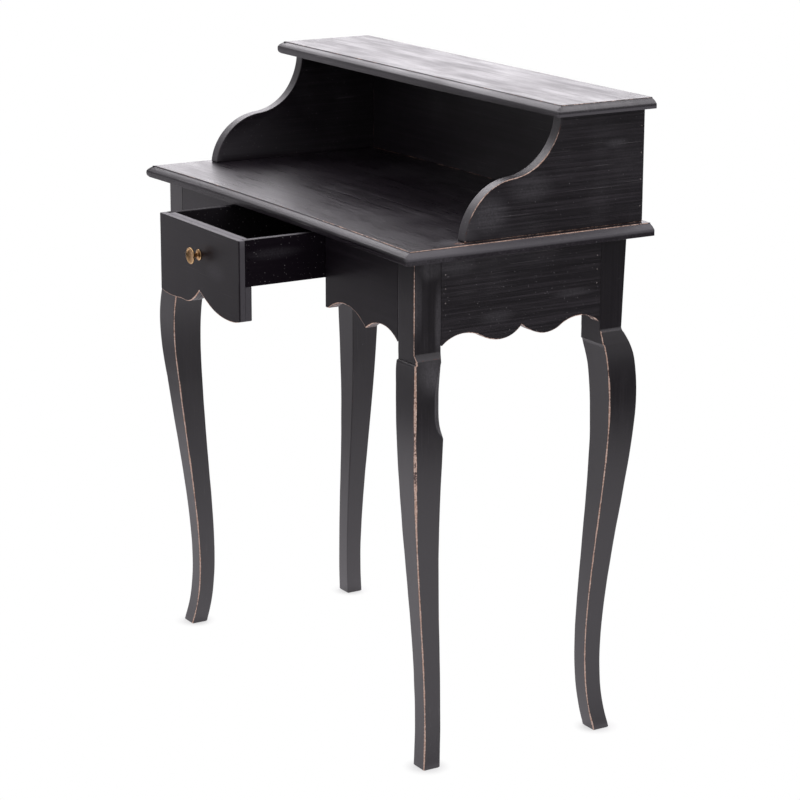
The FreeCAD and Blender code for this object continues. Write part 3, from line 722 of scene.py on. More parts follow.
# Where each leg differs from the drawn one: middle, half length, and change of x0, x1, y0 and y1
OWN_BULGES = {
    "leg_front_left": (530 * MM, 110 * MM, (-3.2 * MM, -1.2 * MM, -1.8 * MM, -0.8 * MM)),
    "leg_front_right": (530 * MM, 100 * MM, (-1.2 * MM, 0.0, 0.0, 0.0)),
    "leg_back_left": (530 * MM, 440 * MM, (-0.8 * MM, 0.0, 0.0, 2.2 * MM)),
    "leg_back_right": (560 * MM, 120 * MM, (-1.5 * MM, 0.0, 0.0, 0.8 * MM)),
}

# The front right post is narrow, and the back right one is wide and narrows downwards
POST_NARROWING = 2.0 * MM
POST_WIDENING = 2.5 * MM
POST_TAPER = 5.5 * MM

# The right shoulders run smoothly into the posts: how far they draw in on the right and at the back
SHOULDER_DRAW = {"leg_front_right": (0.0, 3.0 * MM), "leg_back_right": (3.5 * MM, 8.0 * MM)}
DRAW_HEIGHT = 40 * MM


def section_at(node, level):
    """A leg's section at a height, as its lowest and highest x and y."""
    mesh = frame["nodes"][node].data
    cuts = []
    for edge in mesh.edges:
        low, high = (mesh.vertices[index].co for index in edge.vertices)
        if (low.z - level) * (high.z - level) < 0:
            cuts.append(low.lerp(high, (level - low.z) / (high.z - low.z)))
    xs, ys, _ = zip(*cuts)
    return [min(xs), max(xs), min(ys), max(ys)]


def smoothed(sections, passes=3):
    """Neighbouring sections averaged, which takes out the facets of the CAD mesh."""
    for _ in range(passes):
        inner = [
            [(a + 2 * b + c) / 4 for a, b, c in zip(*near)]
            for near in zip(sections, sections[1:], sections[2:])
        ]
        sections = [sections[0], *inner, sections[-1]]
    return sections


def own_section(node, section, level, shoulder, post):
    """A leg's section with what sets this leg apart from the other three."""
    middle, half, extra = OWN_BULGES[node]
    share = bulge(level, middle, half)
    x0, x1, y0, y1 = (side + more * share for side, more in zip(section, extra))
    if node in SHOULDER_DRAW:
        draw_x, draw_y = SHOULDER_DRAW[node]
        share = max(0.0, 1 - (shoulder - level) / DRAW_HEIGHT) ** 2
        x1 -= draw_x * share
        y1 -= draw_y * share
        front_ledge = shoulder - FRONT_LEDGE[node]
        share = max(0.0, min(1.0, 1 - (front_ledge - level) / DRAW_HEIGHT)) ** 2
        x0 += (post[0] - x0) * share
        y0 = post[2] if level > front_ledge else y0
    return [x0, x1, y0, y1]


def arris_cut(node, arris, level, on_post):
    """How far an arris is cut back, how worn the cut's edges and middle are, and its dust."""
    worn = LEG_WEAR[node][1 if on_post else 0][arris]
    if on_post:
        return POST_CHAMFER, worn, worn, 0.0
    if node != "leg_front_right":
        return LEG_CHAMFER, worn, worn, 0.0
    if arris == RIGHT_BACK:
        power = 2 if level > SCOOP_MIDDLE else 4
        depth = SCOOP_DEPTH * bulge(level, SCOOP_MIDDLE, SCOOP_HALF, power)
        return LEG_CHAMFER + depth, worn, 0.0 if depth else worn, SCOOP_DUST if depth else 0.0
    share = bulge(level, FLAT_MIDDLE, FLAT_HALF) if arris == RIGHT_FRONT else 0.0
    return LEG_CHAMFER + FLAT_EXTRA * share, worn, worn * (1 - FLAT_PAINT * share), 0.0


def leg_ring(node, section, level, on_post=False, inset=0.0):
    """A ring with wear and dust: each arris has its cut's middle and edges and two fading points."""
    x0, x1, y0, y1 = section
    x0, x1, y0, y1 = x0 + inset, x1 - inset, y0 + inset, y1 - inset
    corners = [(x0, y0, 1, 1), (x1, y0, -1, 1), (x1, y1, -1, -1), (x0, y1, 1, -1)]
    points = []
    wear = []
    dust = []
    for number, (x, y, to_x, to_y) in enumerate(corners):
        cut, edge_wear, middle_wear, edge_dust = arris_cut(node, number, level, on_post)
        belly = WIDE_BELLY
        if cut < WIDE_CUT:
            belly = NARROW_BELLY
            across = (x * CUT_PITCH_ACROSS, y * CUT_PITCH_ACROSS)
            cut *= 1 + CUT_SWING * noise.noise(Vector((*across, level * CUT_PITCH_UP + number)))
        reach = cut + WEAR_REACH
        five = [
            (x + to_x * reach, y),
            (x + to_x * cut, y),
            (x + to_x * cut * belly, y + to_y * cut * belly),
            (x, y + to_y * cut),
            (x, y + to_y * reach),
        ]
        weights = (edge_wear, edge_wear, middle_wear, edge_wear, edge_wear)
        points += five if number % 2 == 1 else five[::-1]
        wear += [share * weight for share, weight in zip(ARRIS_WEAR, weights)]
        dust += [0.0, edge_dust, edge_dust * INNER_DUST, edge_dust, 0.0]
    return [Vector((px, py, level)) for px, py in points], wear, dust


def post_section(node, section, level, foot, top):
    """A post's section with what sets this post apart."""
    x0, x1, y0, y1 = section
    if node == "leg_front_right":
        x0 += POST_NARROWING
    if node == "leg_back_right":
        x0 -= POST_WIDENING
        y1 -= POST_TAPER * (top - level) / (top - foot)
    return [x0, x1, y0, y1]


def make_leg(node):
    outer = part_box("side_apron_right")[1].x + AT_END
    mesh = frame["nodes"][node].data
    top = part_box(node)[1].z + JOINT_DEPTH
    shoulder = max(vert.co.z for vert in mesh.vertices if abs(vert.co.x) > outer)
    lift = LEDGE_LIFT.get(node, 0.0)

    def lifted(level):
        return level + lift * max(0.0, (level - LIFT_START) / (shoulder - LIFT_START)) ** 2

    step = (shoulder - LEDGE_LOOP) / LEG_LEVELS
    heights = [step * (index + 0.5) for index in range(LEG_LEVELS)]
    curve = smoothed([section_at(node, height) for height in heights])
    curve += [section_at(node, shoulder - UNDER_SHOULDER)] * 2
    heights += [shoulder - LEDGE_LOOP, shoulder]
    if node in FRONT_LEDGE:
        front_ledge = shoulder - FRONT_LEDGE[node]
        place = next(index for index, height in enumerate(heights) if height > front_ledge)
        both = [front_ledge - LEDGE_STEP, front_ledge + LEDGE_STEP]
        heights[place:place] = both
        curve[place:place] = [section_at(node, height) for height in both]
    foot = lifted(shoulder) + LEDGE_RISE[node]
    post = section_at(node, foot)
    above = post_section(node, post, foot, foot, top)
    own = [own_section(node, *pair, shoulder, above) for pair in zip(curve, heights)]
    rings = [leg_ring(node, own[0], 0.0, inset=SOLE_CHAMFER), leg_ring(node, own[0], SOLE_CHAMFER)]
    for section, height in zip(own[1:], heights[1:]):
        rings.append(leg_ring(node, section, lifted(height)))
    _, wear, dust = rings[-1]
    wear[:] = [max(worn, LEDGE_WEAR) for worn in wear]
    dust[:] = [LEDGE_DUST] * len(dust)
    if node in FRONT_LEDGE:
        for place in FRONT_POINTS:
            wear[place] = 0.0
            dust[place] = 0.0
    levels = [foot, foot + LEDGE_LOOP]
    levels += [foot + (top - foot) * index / POST_LEVELS for index in range(1, POST_LEVELS + 1)]
    for level in levels:
        section = post_section(node, post, level, foot, top)
        rings.append(leg_ring(node, section, level, on_post=True))
    builder = bmesh.new()
    add_rings(builder, rings)
    make_piece(node, "wood_" + node, builder, LEG_PAINT)


# Aprons, gallery and drawer boards

# The scallops lie further than this below a board's upper edge
APRON_PLAIN = 60 * MM
FRONT_PLAIN = 80 * MM


def lower_edge_wear(outline, outer, amount):
    """Wear of a scalloped board's lower edge, most on the outer arris, not at its joints."""
    low_edge = max(point.y for point in outline) - APRON_PLAIN
    near_end = min(point.x for point in outline) + AT_END
    far_end = max(point.x for point in outline) - AT_END
    amounts = {outer: amount, EDGE: CUT_EDGE_WEAR}

    def worn(point, part):
        if point.y < low_edge and near_end < point.x < far_end:
            return amounts.get(part, SLIGHT_WEAR)
        return 0.0 if part == EDGE else JOINT_WEAR
    return worn


# The right side apron's scallops are uneven: middle, half length and change of height
SIDE_SHIFTS = [
    (-32 * MM, 50 * MM, -3.2 * MM),
    (-72 * MM, 40 * MM, -2.0 * MM),
    (80 * MM, 24 * MM, 1.7 * MM),
    (145 * MM, 45 * MM, -1.6 * MM),
]
TIP_LENGTH = 30 * MM
TIP_DROP = 3.0 * MM


def shifted(point, shifts):
    """A point of a lower edge moved up or down by the soft bulges at its place."""
    rise = sum(size * soft_bulge(point.x, middle, half) for middle, half, size in shifts)
    return point + Vector((0, rise))


def under_bow(point):
    """The upper edges of the front and back aprons follow the arched top."""
    under_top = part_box("front_apron_right")[1].z
    if point.y < under_top - AT_END:
        return point
    return point + Vector((0, bow(point.x) + JOINT_DEPTH))


def to_narrow_post(point):
    """The right front apron reaches the narrow post, and its scallop ends lower there."""
    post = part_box("side_apron_right")[1].x - POST_WIDTH
    share = max(0.0, 1 - (post - point.x) / TIP_LENGTH)
    low_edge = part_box("front_apron_right")[1].z - APRON_PLAIN
    drop = TIP_DROP * share ** 2 if point.y < low_edge else 0.0
    return under_bow(point + Vector((POST_NARROWING * share, -drop)))


def uneven_side(point):
    """The right side apron's own lower edge."""
    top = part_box("side_apron_right")[1].z
    if point.y > top - AT_END:
        return point + Vector((0, JOINT_DEPTH))
    return shifted(point, SIDE_SHIFTS) if point.y < top - APRON_PLAIN else point


# Each apron with the axis it faces, its outer side, paint, wear and own outline
APRONS = [
    ("front_apron_left", Y, LOW, FRONT_PAINT, RUBBED, under_bow),
    ("front_apron_right", Y, LOW, FRONT_PAINT, RUBBED, to_narrow_post),
    ("side_apron_left", X, LOW, SIDE_PAINT, SIDE_RUBBED, None),
    ("side_apron_right", X, HIGH, SIDE_PAINT, SIDE_RUBBED, uneven_side),
    ("back_apron", Y, HIGH, FRONT_PAINT, BACK_RUBBED, under_bow),
]


def make_aprons():
    for node, axis, outer, paint, amount, warp in APRONS:
        worn = lower_edge_wear(face_outline(node, axis, outer == HIGH), outer, amount)
        make_board(node, axis, outer == HIGH, paint, worn, warp=warp)


# The ogees: how far each stands above or below its drawn line, low on it and high on it;
# heights are shares of the gallery's, as middle and half length
OGEE_SHIFTS = {"left": (-5.5 * MM, -2.2 * MM), "right": (0.0, 2.6 * MM)}
OGEE_FOOT, OGEE_HEAD = 0.02, 0.98
OGEE_LOW = (0.38, 0.55)
OGEE_HIGH = (0.75, 0.5)
OGEE_ENDS = (0.5, 0.5, 6)
BACK_STRIP = 5 * MM

# Wear and dust of the gallery
OGEE_RUBBED = (0.55, 0.42, 4)
OGEE_WEAR = 0.35
OGEE_EXTRA = 0.5
FOOT_WEAR = 0.82
LEFT_WEAR = 0.28
STRIP_DUST = 0.38
STRIP_REACH = 0.35
PANEL_WEAR = 0.68
PANEL_FOOT = 0.1

# The shelf is thinner towards its right end, and the boards under it reach up into it
SHELF_RISE = 3.2 * MM
RISE_START = 70 * MM
RISE_HEIGHT = 8 * MM


def make_gallery():
    low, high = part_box("gallery_side_right")

    def rise(point):
        return (point.y - low.z) / (high.z - low.z)

    def on_ogee(point):
        return point.x < high.y - BACK_STRIP and OGEE_FOOT < rise(point) < OGEE_HEAD

    def fitted(point, x):
        """The upper edge reaches into the shelf, and the lower one stands on the arched top."""
        if rise(point) > OGEE_HEAD:
            return point + Vector((0, SHELF_RISE + JOINT_DEPTH))
        return point + Vector((0, bow(x))) if rise(point) < OGEE_FOOT else point

    def uneven_ogee(side):
        low_shift, high_shift = OGEE_SHIFTS[side]

        def warp(point):
            if not on_ogee(point):
                return fitted(point, high.x)
            share = rise(point)
            shift = low_shift * soft_bulge(share, *OGEE_LOW)
            shift += high_shift * soft_bulge(share, *OGEE_HIGH)
            return point + Vector((0, shift * bulge(share, *OGEE_ENDS)))
        return warp

    def right_wear(point, part):
        if part == EDGE:
            return 0.0
        if on_ogee(point):
            shown = bulge(rise(point), *OGEE_RUBBED)
            return (OGEE_WEAR + OGEE_EXTRA * shown) if part == HIGH else SLIGHT_WEAR
        if rise(point) <= OGEE_FOOT:
            return FOOT_WEAR if part == HIGH else FAINT_WEAR
        return SLIGHT_WEAR if rise(point) < OGEE_HEAD else JOINT_WEAR

    def left_wear(point, part):
        return 0.0 if part == EDGE else LEFT_WEAR

    def strip_dust(point, part):
        return STRIP_DUST * bulge(rise(point), 0.0, STRIP_REACH) if on_ogee(point) else 0.0

    for side, worn in (("left", left_wear), ("right", right_wear)):
        make_board(
            f"gallery_side_{side}", X, side == "right", SIDE_PAINT, worn,
            strip_dust, warp=uneven_ogee(side),
        )

    panel_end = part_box("gallery_back")[1].x - AT_END

    def panel_wear(point, part):
        if part == LOW and (rise(point) < PANEL_FOOT or abs(point.x) > panel_end):
            return PANEL_WEAR
        return FAINT_WEAR

    def on_bow(point):
        return fitted(point, point.x)

    make_board("gallery_back", Y, False, PANEL_PAINT, panel_wear, bevel=SEAM_BEVEL, warp=on_bow)


# The drawer front's left lobe hangs full until close to the cusp, and its right end hangs lower:
# middle, half length and change of height
LOBE_SHIFTS = [
    (-28 * MM, 34 * MM, -5.5 * MM),
    (-75 * MM, 40 * MM, 1.5 * MM),
    (75 * MM, 60 * MM, -1.2 * MM),
    (120 * MM, 45 * MM, -2.2 * MM),
]

# Dust lies on the upper edge and the right end of the drawer's front; the upper edge of its right
# side gets a painted highlight
UPPER_EDGE = 2 * MM
UPPER_DUST = 1.0
END_DUST = 0.65
SIDE_PAINTED_HIGHLIGHT = 0.5


def make_drawer_front():
    """The front's lip, and behind it the part that the drawer's sides lap."""
    low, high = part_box("drawer_front")
    side_low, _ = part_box("drawer_side_right")
    lap = side_low.y
    lip = face_outline("drawer_front", Y, False)
    half = side_low.x

    def behind(point):
        """The outline behind the lip is narrower where the sides stand."""
        if point.y > side_low.z:
            return Vector((max(-half, min(half, point.x)), point.y))
        return point

    inner = []
    for start, end in zip(lip, lip[1:] + lip[:1]):
        inner.append(behind(start))
        if (start.y - side_low.z) * (end.y - side_low.z) < 0:
            edge = math.copysign(high.x, start.x)
            step = [Vector((edge, side_low.z)), Vector((math.copysign(half, edge), side_low.z))]
            inner += step if start.y < end.y else step[::-1]
    low_edge = high.z - FRONT_PLAIN

    def full_lobe(point):
        return point if point.y > low_edge else shifted(point, LOBE_SHIFTS)

    def worn(point, part):
        if point.y < low_edge and abs(point.x) < high.x - AT_END:
            return FRONT_RUBBED if part == LOW else SLIGHT_WEAR
        return 0.0 if part == EDGE else FAINT_WEAR

    def dusty(clean):
        """Dust on the upper edge and the right end, but not on the clean face."""
        def dust(point, part):
            if part == clean:
                return 0.0
            if point.y > high.z - UPPER_EDGE:
                return UPPER_DUST
            return END_DUST if point.x > high.x - AT_END else 0.0
        return dust

    builder = bmesh.new()
    profile = board_profile(low.y, lap, BEVEL)
    add_profile(builder, Y, lip, profile, worn, dusty(LOW), full_lobe)
    profile = board_profile(lap, high.y, SEAM_BEVEL)
    add_profile(builder, Y, inner, profile, none, dusty(HIGH), full_lobe)
    make_piece("drawer_front", "wood_drawer_front", builder, FRONT_PAINT)


def make_drawer():
    make_drawer_front()
    make_board("drawer_side_left", X, False, ROUGH_PAINT, always(BOX_WEAR))
    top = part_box("drawer_side_right")[1].z - UPPER_EDGE

    # A painted highlight on the right side's upper edge
    def dusty(point, part):
        return SIDE_PAINTED_HIGHLIGHT if point.y > top and part == EDGE else 0.0

    make_board("drawer_side_right", X, True, DRAWER_PAINT, always(BOX_WEAR), dusty)
    make_board("drawer_back", Y, True, FRONT_PAINT, always(BOX_WEAR))
    make_board("drawer_bottom", Z, True, FRONT_PAINT, none, bevel=SEAM_BEVEL)


# Moulded boards: a nearly straight slope below a quirk on the front and the ends, a square back

MOULD_REACH = 10.5 * MM
MOULD_DROP = 7.0 * MM
MOULD_STEPS = 8
FIRST_SHARE = 0.07
UNDER_INSET = 5 * MM
UNDER_ROUND = 0.25 * MM
FACE_LEVELS = (UNDER_ROUND, 1.5 * MM, 3 * MM, 5 * MM)
FACE_TOP = 1.2 * MM
RAGGED_MOST = 0.5 * MM
BEHIND = 30 * MM
SLICE = 20 * MM

# The quirk: its height, and its section as how far in from the slope, how far down, and wear
QUIRK = 1.5 * MM
QUIRK_ROWS = [(0.15 * MM, 0.5 * MM, 1), (0.6 * MM, 0, 0.9), (1.65 * MM, 0, 0), (3.6 * MM, 0, 0)]

# The left end's moulding is shorter, and its lower edge rounder
LEFT_REACH = 0.75
LEFT_ROUND = 2.5 * MM
ROUND_HEIGHT = 5 * MM

# The slope's belly, the dust and painted sheen on the face and on the slope, and the wear along the
# quirk
TOP_MOULD = (0.6 * MM, 0.1, 0.7)
SHELF_MOULD = (0.9 * MM, 0.75, 0.0)
RIGHT_STRIP = 5 * MM
TOP_WEAR = 0.5
TOP_EXTRA = 0.2
EXTRA_START = 100 * MM
EXTRA_LENGTH = 150 * MM
SHELF_WEAR = 0.53
SHELF_END_WEAR = 0.62
# How much painted sheen the shelf's face gains towards its left end
SHELF_PAINTED_SHEEN = 0.6


def moulded_profile(low, high, belly, face_dust_and_sheen, slope_dust_and_sheen):
    """A section of (inset, level, wear, dusting and painted sheen) from the underside over the slope
    to the top.
    """
    arris = high - QUIRK - MOULD_DROP
    length = math.hypot(MOULD_REACH, MOULD_DROP)
    profile = [(UNDER_INSET, low, 0, 0), (UNDER_ROUND, low, 0, 0)]
    profile += [(0, low + rise, 0, face_dust_and_sheen) for rise in FACE_LEVELS]
    profile.append((0, arris - FACE_TOP, 0, slope_dust_and_sheen))
    for step in range(MOULD_STEPS + 1):
        share = FIRST_SHARE + (1 - FIRST_SHARE) * step / MOULD_STEPS
        out = belly * math.sin(math.pi * share) / length
        inset = MOULD_REACH * share - out * MOULD_DROP
        level = arris + MOULD_DROP * share + out * MOULD_REACH
        profile.append((inset, level, SLIGHT_WEAR if step == MOULD_STEPS else 0, slope_dust_and_sheen))
    profile += [(MOULD_REACH + inwards, high - down, wear, 0) for inwards, down, wear in QUIRK_ROWS]
    return profile


def make_moulded_board(node, material, profile, worn, scuffed_and_sheened, lift):
    """A moulded board with its wear, its dusting and painted sheen and how far it is raised, each by
    place.
    """
    low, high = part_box(node)
    behind = high.y + BEHIND
    corners = [(low.x, low.y), (high.x, low.y), (high.x, behind), (low.x, behind)]
    points = divided([Vector(corner) for corner in corners])
    weights = ring_values(points, lambda point: worn(point) if point.y < high.y - AT_END else 0.0)
    scuffs_and_sheen = ring_values(points, scuffed_and_sheened)
    rings = []
    for inset, level, wear, dust in profile:
        def own_inset(point):
            ragged = min(inset, RAGGED_MOST) * (uneven(point) - BEVEL_MEAN)
            if point.x > low.x + AT_END:
                return inset + ragged
            under = max(0.0, 1 - (level - profile[0][1]) / ROUND_HEIGHT)
            return inset * LEFT_REACH + LEFT_ROUND * under ** 2 + ragged

        flat = inset_ring(points, own_inset)
        ring = [Vector((place.x, min(place.y, high.y), level)) for place in flat]
        wears = [wear * weight for weight in weights]
        rings.append((ring, wears, [dust * scuff_and_sheen for scuff_and_sheen in scuffs_and_sheen]))
    builder = bmesh.new()
    add_rings(builder, rings)
    bmesh.ops.remove_doubles(builder, verts=builder.verts, dist=SAME_PLACE)
    for index in range(1, int((high.x - low.x) / SLICE)):
        everything = builder.verts[:] + builder.edges[:] + builder.faces[:]
        place = (low.x + index * SLICE, 0, 0)
        bmesh.ops.bisect_plane(builder, geom=everything, plane_co=place, plane_no=(1, 0, 0))
    for vert in builder.verts:
        vert.co.z += lift(vert.co)
    make_piece(node, "wood_" + node, builder, material)


def make_moulded_boards():
    right_end = TOP_HALF - RIGHT_STRIP

    def top_wear(point):
        if point.x > right_end:
            return RUBBED
        return TOP_WEAR + TOP_EXTRA * max(0.0, min(1.0, (point.x - EXTRA_START) / EXTRA_LENGTH))

    def shelf_wear(point):
        return SHELF_END_WEAR if point.x > right_end else SHELF_WEAR

    # Scuffs and painted sheen lighten the right end of the top
    def top_end_scuffs_and_sheen(point):
        return 1.0 if point.x > right_end else 0.0

    # Scuffs and painted sheen at the shelf's right end, and painted sheen on its face growing
    # towards the left end
    def shelf_scuffs_and_sheen(point):
        return 1.0 if point.x > right_end else SHELF_PAINTED_SHEEN * max(0.0, -point.x / TOP_HALF)

    def arched(place):
        return bow(place.x)

    low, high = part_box("tabletop")
    profile = moulded_profile(low.z, high.z, *TOP_MOULD)
    make_moulded_board("tabletop", TOP_PAINT, profile, top_wear, top_end_scuffs_and_sheen, arched)
    low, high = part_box("gallery_shelf")

    def thinner(place):
        share = max(0.0, (place.x - RISE_START) / (high.x - RISE_START))
        return SHELF_RISE * share * max(0.0, 1 - (place.z - low.z) / RISE_HEIGHT)

    profile = moulded_profile(low.z, high.z, *SHELF_MOULD)
    make_moulded_board("gallery_shelf", SHELF_PAINT, profile, shelf_wear, shelf_scuffs_and_sheen, thinner)


# Knob, nail heads and the pieces inside

KNOB_SEGMENTS = 64
KNOB_AXIS = (0, -1, 0)
DISC_HEIGHT = 3.8 * MM
NECK_RADIUS = 2.8 * MM
DISH_DEPTH = 1.9 * MM
DISH_RISE = 1.3 * MM
DISH_SHARES = (0.75, 0.6, 0.45, 0.3, 0.15, 0.05)

# The rosette's section: shares of its radius and height, and polish
ROSETTE = [
    (0.4, 0, 0.1), (1, 0, 0.2), (1, 0.14, 0.8), (0.93, 0.3, 0.6),
    (0.72, 0.42, 0.35), (0.56, 0.62, 0.35), (0.48, 0.82, 0.35), (0.44, 1, 0.35),
]

# The rim of the knob's disc: how far in from its edge and below its face, and polish
KNOB_RIM = [
    (1.0 * MM, 3.0 * MM, 0.5), (0, 2.2 * MM, 1.0), (0, 0.8 * MM, 1.0),
    (0.35 * MM, 0.18 * MM, 1.0), (1.1 * MM, 0, 1.0), (2.2 * MM, 0.45 * MM, 0.8),
]

# A nail head: radius, height over the board's face, and polish
NAIL_HEAD = [
    (0.3 * MM, -0.5 * MM, 0), (0.95 * MM, -0.5 * MM, 0), (0.95 * MM, 0.08 * MM, 0),
    (0.7 * MM, 0.2 * MM, 0), (0.1 * MM, 0.25 * MM, 0),
]
NAIL_SEGMENTS = 20
PIN_END = 0.05 * MM
PIN_APART = 5 * MM


def make_knob():
    """A dished knob on a thin neck, and the flared rosette under it."""
    low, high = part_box("knob_rosette")
    middle = Vector(((low.x + high.x) / 2, high.y, (low.z + high.z) / 2))
    radius = (high.x - low.x) / 2
    rise = high.y - low.y
    flare = [(radius * out, rise * along, polish) for out, along, polish in ROSETTE]
    builder = bmesh.new()
    add_turned(builder, middle, KNOB_AXIS, flare, KNOB_SEGMENTS)
    make_piece("knob_rosette", "brass_rosette", builder, BRASS)

    low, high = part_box("knob")
    base = Vector((middle.x, high.y, middle.z))
    reach = high.y - low.y
    radius = (high.x - low.x) / 2
    under = reach - DISC_HEIGHT
    shape = [
        (2.0 * MM, 0, 0.1),
        (NECK_RADIUS, 0, 0.1),
        (NECK_RADIUS, under - 1.8 * MM, 0.15),
        (NECK_RADIUS + 1.0 * MM, under - 0.6 * MM, 0.2),
        (radius * 0.6, under, 0.3),
    ]
    shape += [(radius - inwards, reach - below, polish) for inwards, below, polish in KNOB_RIM]
    for share in DISH_SHARES:
        shape.append((radius * share, reach - DISH_DEPTH + DISH_RISE * share ** 2, 0.4))
    builder = bmesh.new()
    add_turned(builder, base, KNOB_AXIS, shape, KNOB_SEGMENTS)
    make_piece("knob", "brass_knob", builder, BRASS)


def pin_ends(node):
    """The middles of a node's pin ends in the outer faces of the boards."""
    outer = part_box(node)[1].x
    ends = []
    for vert in frame["nodes"][node].data.vertices:
        if abs(vert.co.x) < outer - PIN_END:
            continue
        near = [end for end in ends if (end[0] - vert.co).length < PIN_APART]
        if near:
            near[0].append(vert.co)
        else:
            ends.append([vert.co])
    return [sum(end, Vector()) / len(end) for end in ends]


def make_nail_heads():
    for node in ("apron_pins", "gallery_pins"):
        builder = bmesh.new()
        for middle in pin_ends(node):
            outwards = (math.copysign(1, middle.x), 0, 0)
            add_turned(builder, middle, outwards, NAIL_HEAD, NAIL_SEGMENTS)
        make_piece(node, "heads_" + node, builder, NAIL_HEADS)


# The grain of the wooden pieces inside, by how their names start
INNER_GRAINS = {
    "drawer_guide": Y, "drawer_runner": Y, "drawer_stop": Y, "top_cleat_side": Y,
    "top_cleat_front": X, "top_cleat_back": X, "gallery_dowels": Z,
}


def finish_inner_pieces():
    """The pieces inside keep their CAD shapes."""
    for name, thing in frame["nodes"].items():
        if thing.hide_render:
            continue
        grains = [axis for start, axis in INNER_GRAINS.items() if name.startswith(start)]
        thing.data.materials.clear()
        thing.data.materials.append(BARE[grains[0]] if grains else STEEL)
        if grains:
            edge = thing.modifiers.new("eased edges", "BEVEL")
            edge.width = BEVEL
            edge.segments = 2


# Stage, lights and camera

WHITE = (1, 1, 1, 1)
LIGHT_TINT = (1.0, 0.965, 1.01)
WORLD_STRENGTH = 0.45
LAMP_TARGET = Vector((0, 0, 0.5))

# Each lamp's place, size and radiance
LAMPS = {
    "backlight": ((-3.0, 2.0, 1.9), (3.6, 2.4), 2.15),
    "window": ((-2.9, -0.2, 3.3), (3.4, 1.6), 2.5),
    "overhead": ((0.3, 1.4, 3.4), (3.0, 2.8), 1.9),
}

# The floor is bright round the desk and under the window
FLOOR_SIZE = 60
FLOOR_GREY = (0.9, 0.9, 0.9, 1)
FLOOR_TINT = (1.0, 0.955, 1.01, 1)
BRIGHT_RADIUS = 1.08
DIM_RADIUS = 1.85
DIM_FLOOR = 0.03
WINDOW_POOL = (-2.55, -0.95, 0.0)
POOL_INNER = 0.4
POOL_OUTER = 0.85
POOL_LEVEL = 1.0

# It is bright again far out to the left: the line across which it fades, and its level there
GLOW_ACROSS = (1.0, -1.5, 0.0)
GLOW_FULL = -1.0
GLOW_END = -0.35
GLOW_LEVEL = 1.0
GLOW_NEAR = -1.6
GLOW_FAR = -2.4

# Shadows at the feet
CONTACT_CORE = 15 * MM
CONTACT_RADIUS = 37 * MM
CONTACT_WHITENESS = 0.65
FAR_AWAY = 10.0


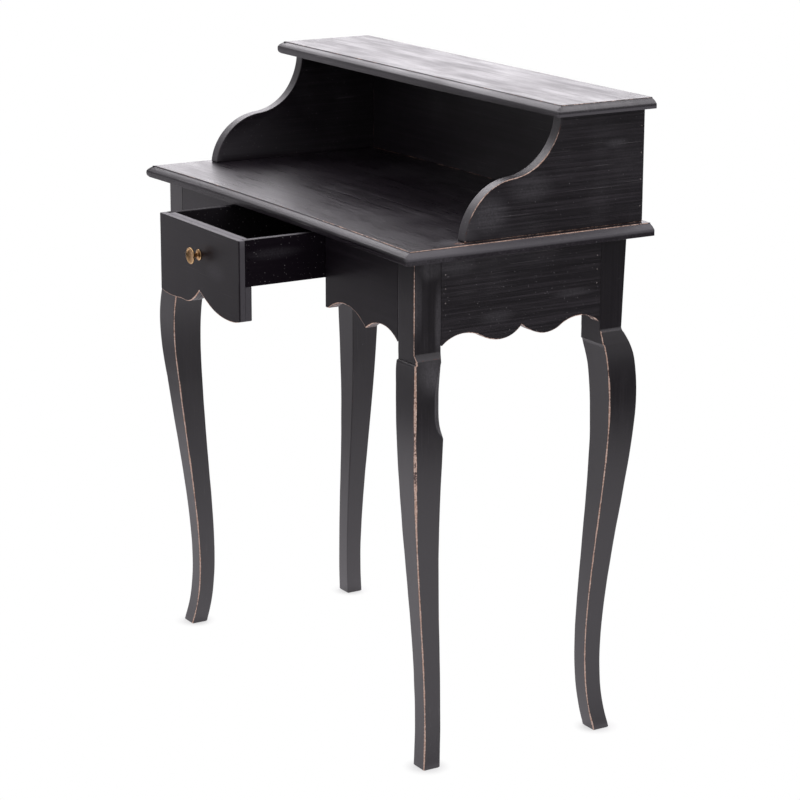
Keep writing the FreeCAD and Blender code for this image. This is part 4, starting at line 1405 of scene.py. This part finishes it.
def make_floor():
    """A white floor with soft shadows at the feet; its levels show in the paint's reflections."""
    shader = Shader(bpy.data.materials.new("white_floor"))
    shader.tree.nodes.remove(shader.surface)
    paths = shader.add("LightPath").outputs
    direct = paths["Is Camera Ray"]
    mirrored = shader.calc("MAXIMUM", paths["Is Glossy Ray"], paths["Is Transmission Ray"])
    middle = shader.distance((0, 0, 0))
    around = shader.between(middle, BRIGHT_RADIUS, DIM_RADIUS, 1.0, DIM_FLOOR)
    pool = shader.distance(WINDOW_POOL)
    window = shader.between(pool, POOL_INNER, POOL_OUTER, POOL_LEVEL, 0.0)
    across = shader.vector("DOT_PRODUCT", shader.place(), GLOW_ACROSS)["Value"]
    along = shader.add("SeparateXYZ", {0: shader.place()}).outputs["X"]
    glow = shader.between(across, GLOW_FULL, GLOW_END, GLOW_LEVEL, 0.0)
    glow = shader.calc("MULTIPLY", glow, shader.between(along, GLOW_FAR, GLOW_NEAR, 1.0, 0.0))
    level = shader.calc("MAXIMUM", shader.calc("MAXIMUM", around, window), glow)
    level = shader.calc("MAXIMUM", direct, level)
    colour = shader.mix(direct, FLOOR_TINT, WHITE)
    white = shader.add("Emission", {"Color": colour, "Strength": level})
    pale = shader.add("BsdfDiffuse", {"Color": FLOOR_GREY})
    foot = FAR_AWAY
    for mount in frame["record"]["mounts"]:
        if mount["name"].startswith("foot"):
            foot = shader.calc("MINIMUM", foot, shader.distance(mount["pos_m"]))
    whiteness = shader.between(foot, CONTACT_CORE, CONTACT_RADIUS, CONTACT_WHITENESS, 1.0)
    seen = shader.calc("MAXIMUM", direct, mirrored)
    shader.show(shader.calc("MULTIPLY", seen, whiteness), pale, white)
    bpy.ops.mesh.primitive_plane_add(size=FLOOR_SIZE)
    floor = bpy.context.object
    floor.name = "floor"
    floor.data.materials.append(shader.owner)
    floor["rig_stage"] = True


def make_world():
    """Even light from all sides, and white behind the desk."""
    shader = Shader(bpy.data.worlds.new("studio"))
    bpy.context.scene.world = shader.owner
    shader.finish(Color=(*LIGHT_TINT, 1), Strength=WORLD_STRENGTH)
    white = shader.add("Background", {"Color": WHITE})
    direct = shader.add("LightPath").outputs["Is Camera Ray"]
    shader.show(direct, shader.surface, white)


def make_lights():
    """Soft lamps that face the desk; their power follows from size and radiance."""
    for name, (place, size, radiance) in LAMPS.items():
        light = bpy.data.lights.new(name, "AREA")
        light.shape = "RECTANGLE"
        light.size, light.size_y = size
        light.energy = radiance * math.pi * size[0] * size[1]
        light.color = LIGHT_TINT
        lamp = bpy.data.objects.new(name, light)
        lamp.location = place
        lamp.rotation_euler = (LAMP_TARGET - Vector(place)).to_track_quat("-Z", "Y").to_euler()
        bpy.context.scene.collection.objects.link(lamp)


def make_camera():
    level = math.cos(CAMERA_PITCH)
    flat = (math.sin(CAMERA_YAW) * level, -math.cos(CAMERA_YAW) * level)
    back = Vector((*flat, math.sin(CAMERA_PITCH)))
    straight = Vector((math.cos(CAMERA_YAW), math.sin(CAMERA_YAW), 0))
    across = Matrix.Rotation(CAMERA_ROLL, 3, back) @ straight
    turn = Matrix((across, back.cross(across), back)).transposed()
    camera = bpy.data.objects.new("camera", bpy.data.cameras.new("camera"))
    camera.data.lens = CAMERA_LENS
    camera.data.sensor_width = CAMERA_SENSOR
    place = CAMERA_TARGET + back * CAMERA_DISTANCE
    camera.matrix_world = Matrix.Translation(place) @ turn.to_4x4()
    bpy.context.scene.collection.objects.link(camera)
    bpy.context.scene.camera = camera


for leg in LEG_WEAR:
    make_leg(leg)
make_aprons()
make_gallery()
make_drawer()
make_moulded_boards()
make_knob()
make_nail_heads()
finish_inner_pieces()
make_floor()
make_world()
make_lights()
make_camera()
bpy.context.scene.view_settings.view_transform = "Standard"

boxes = {"cad": CAD_BOX, "visual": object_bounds()}
{name: [list(corner) for corner in box] for name, box in boxes.items()}
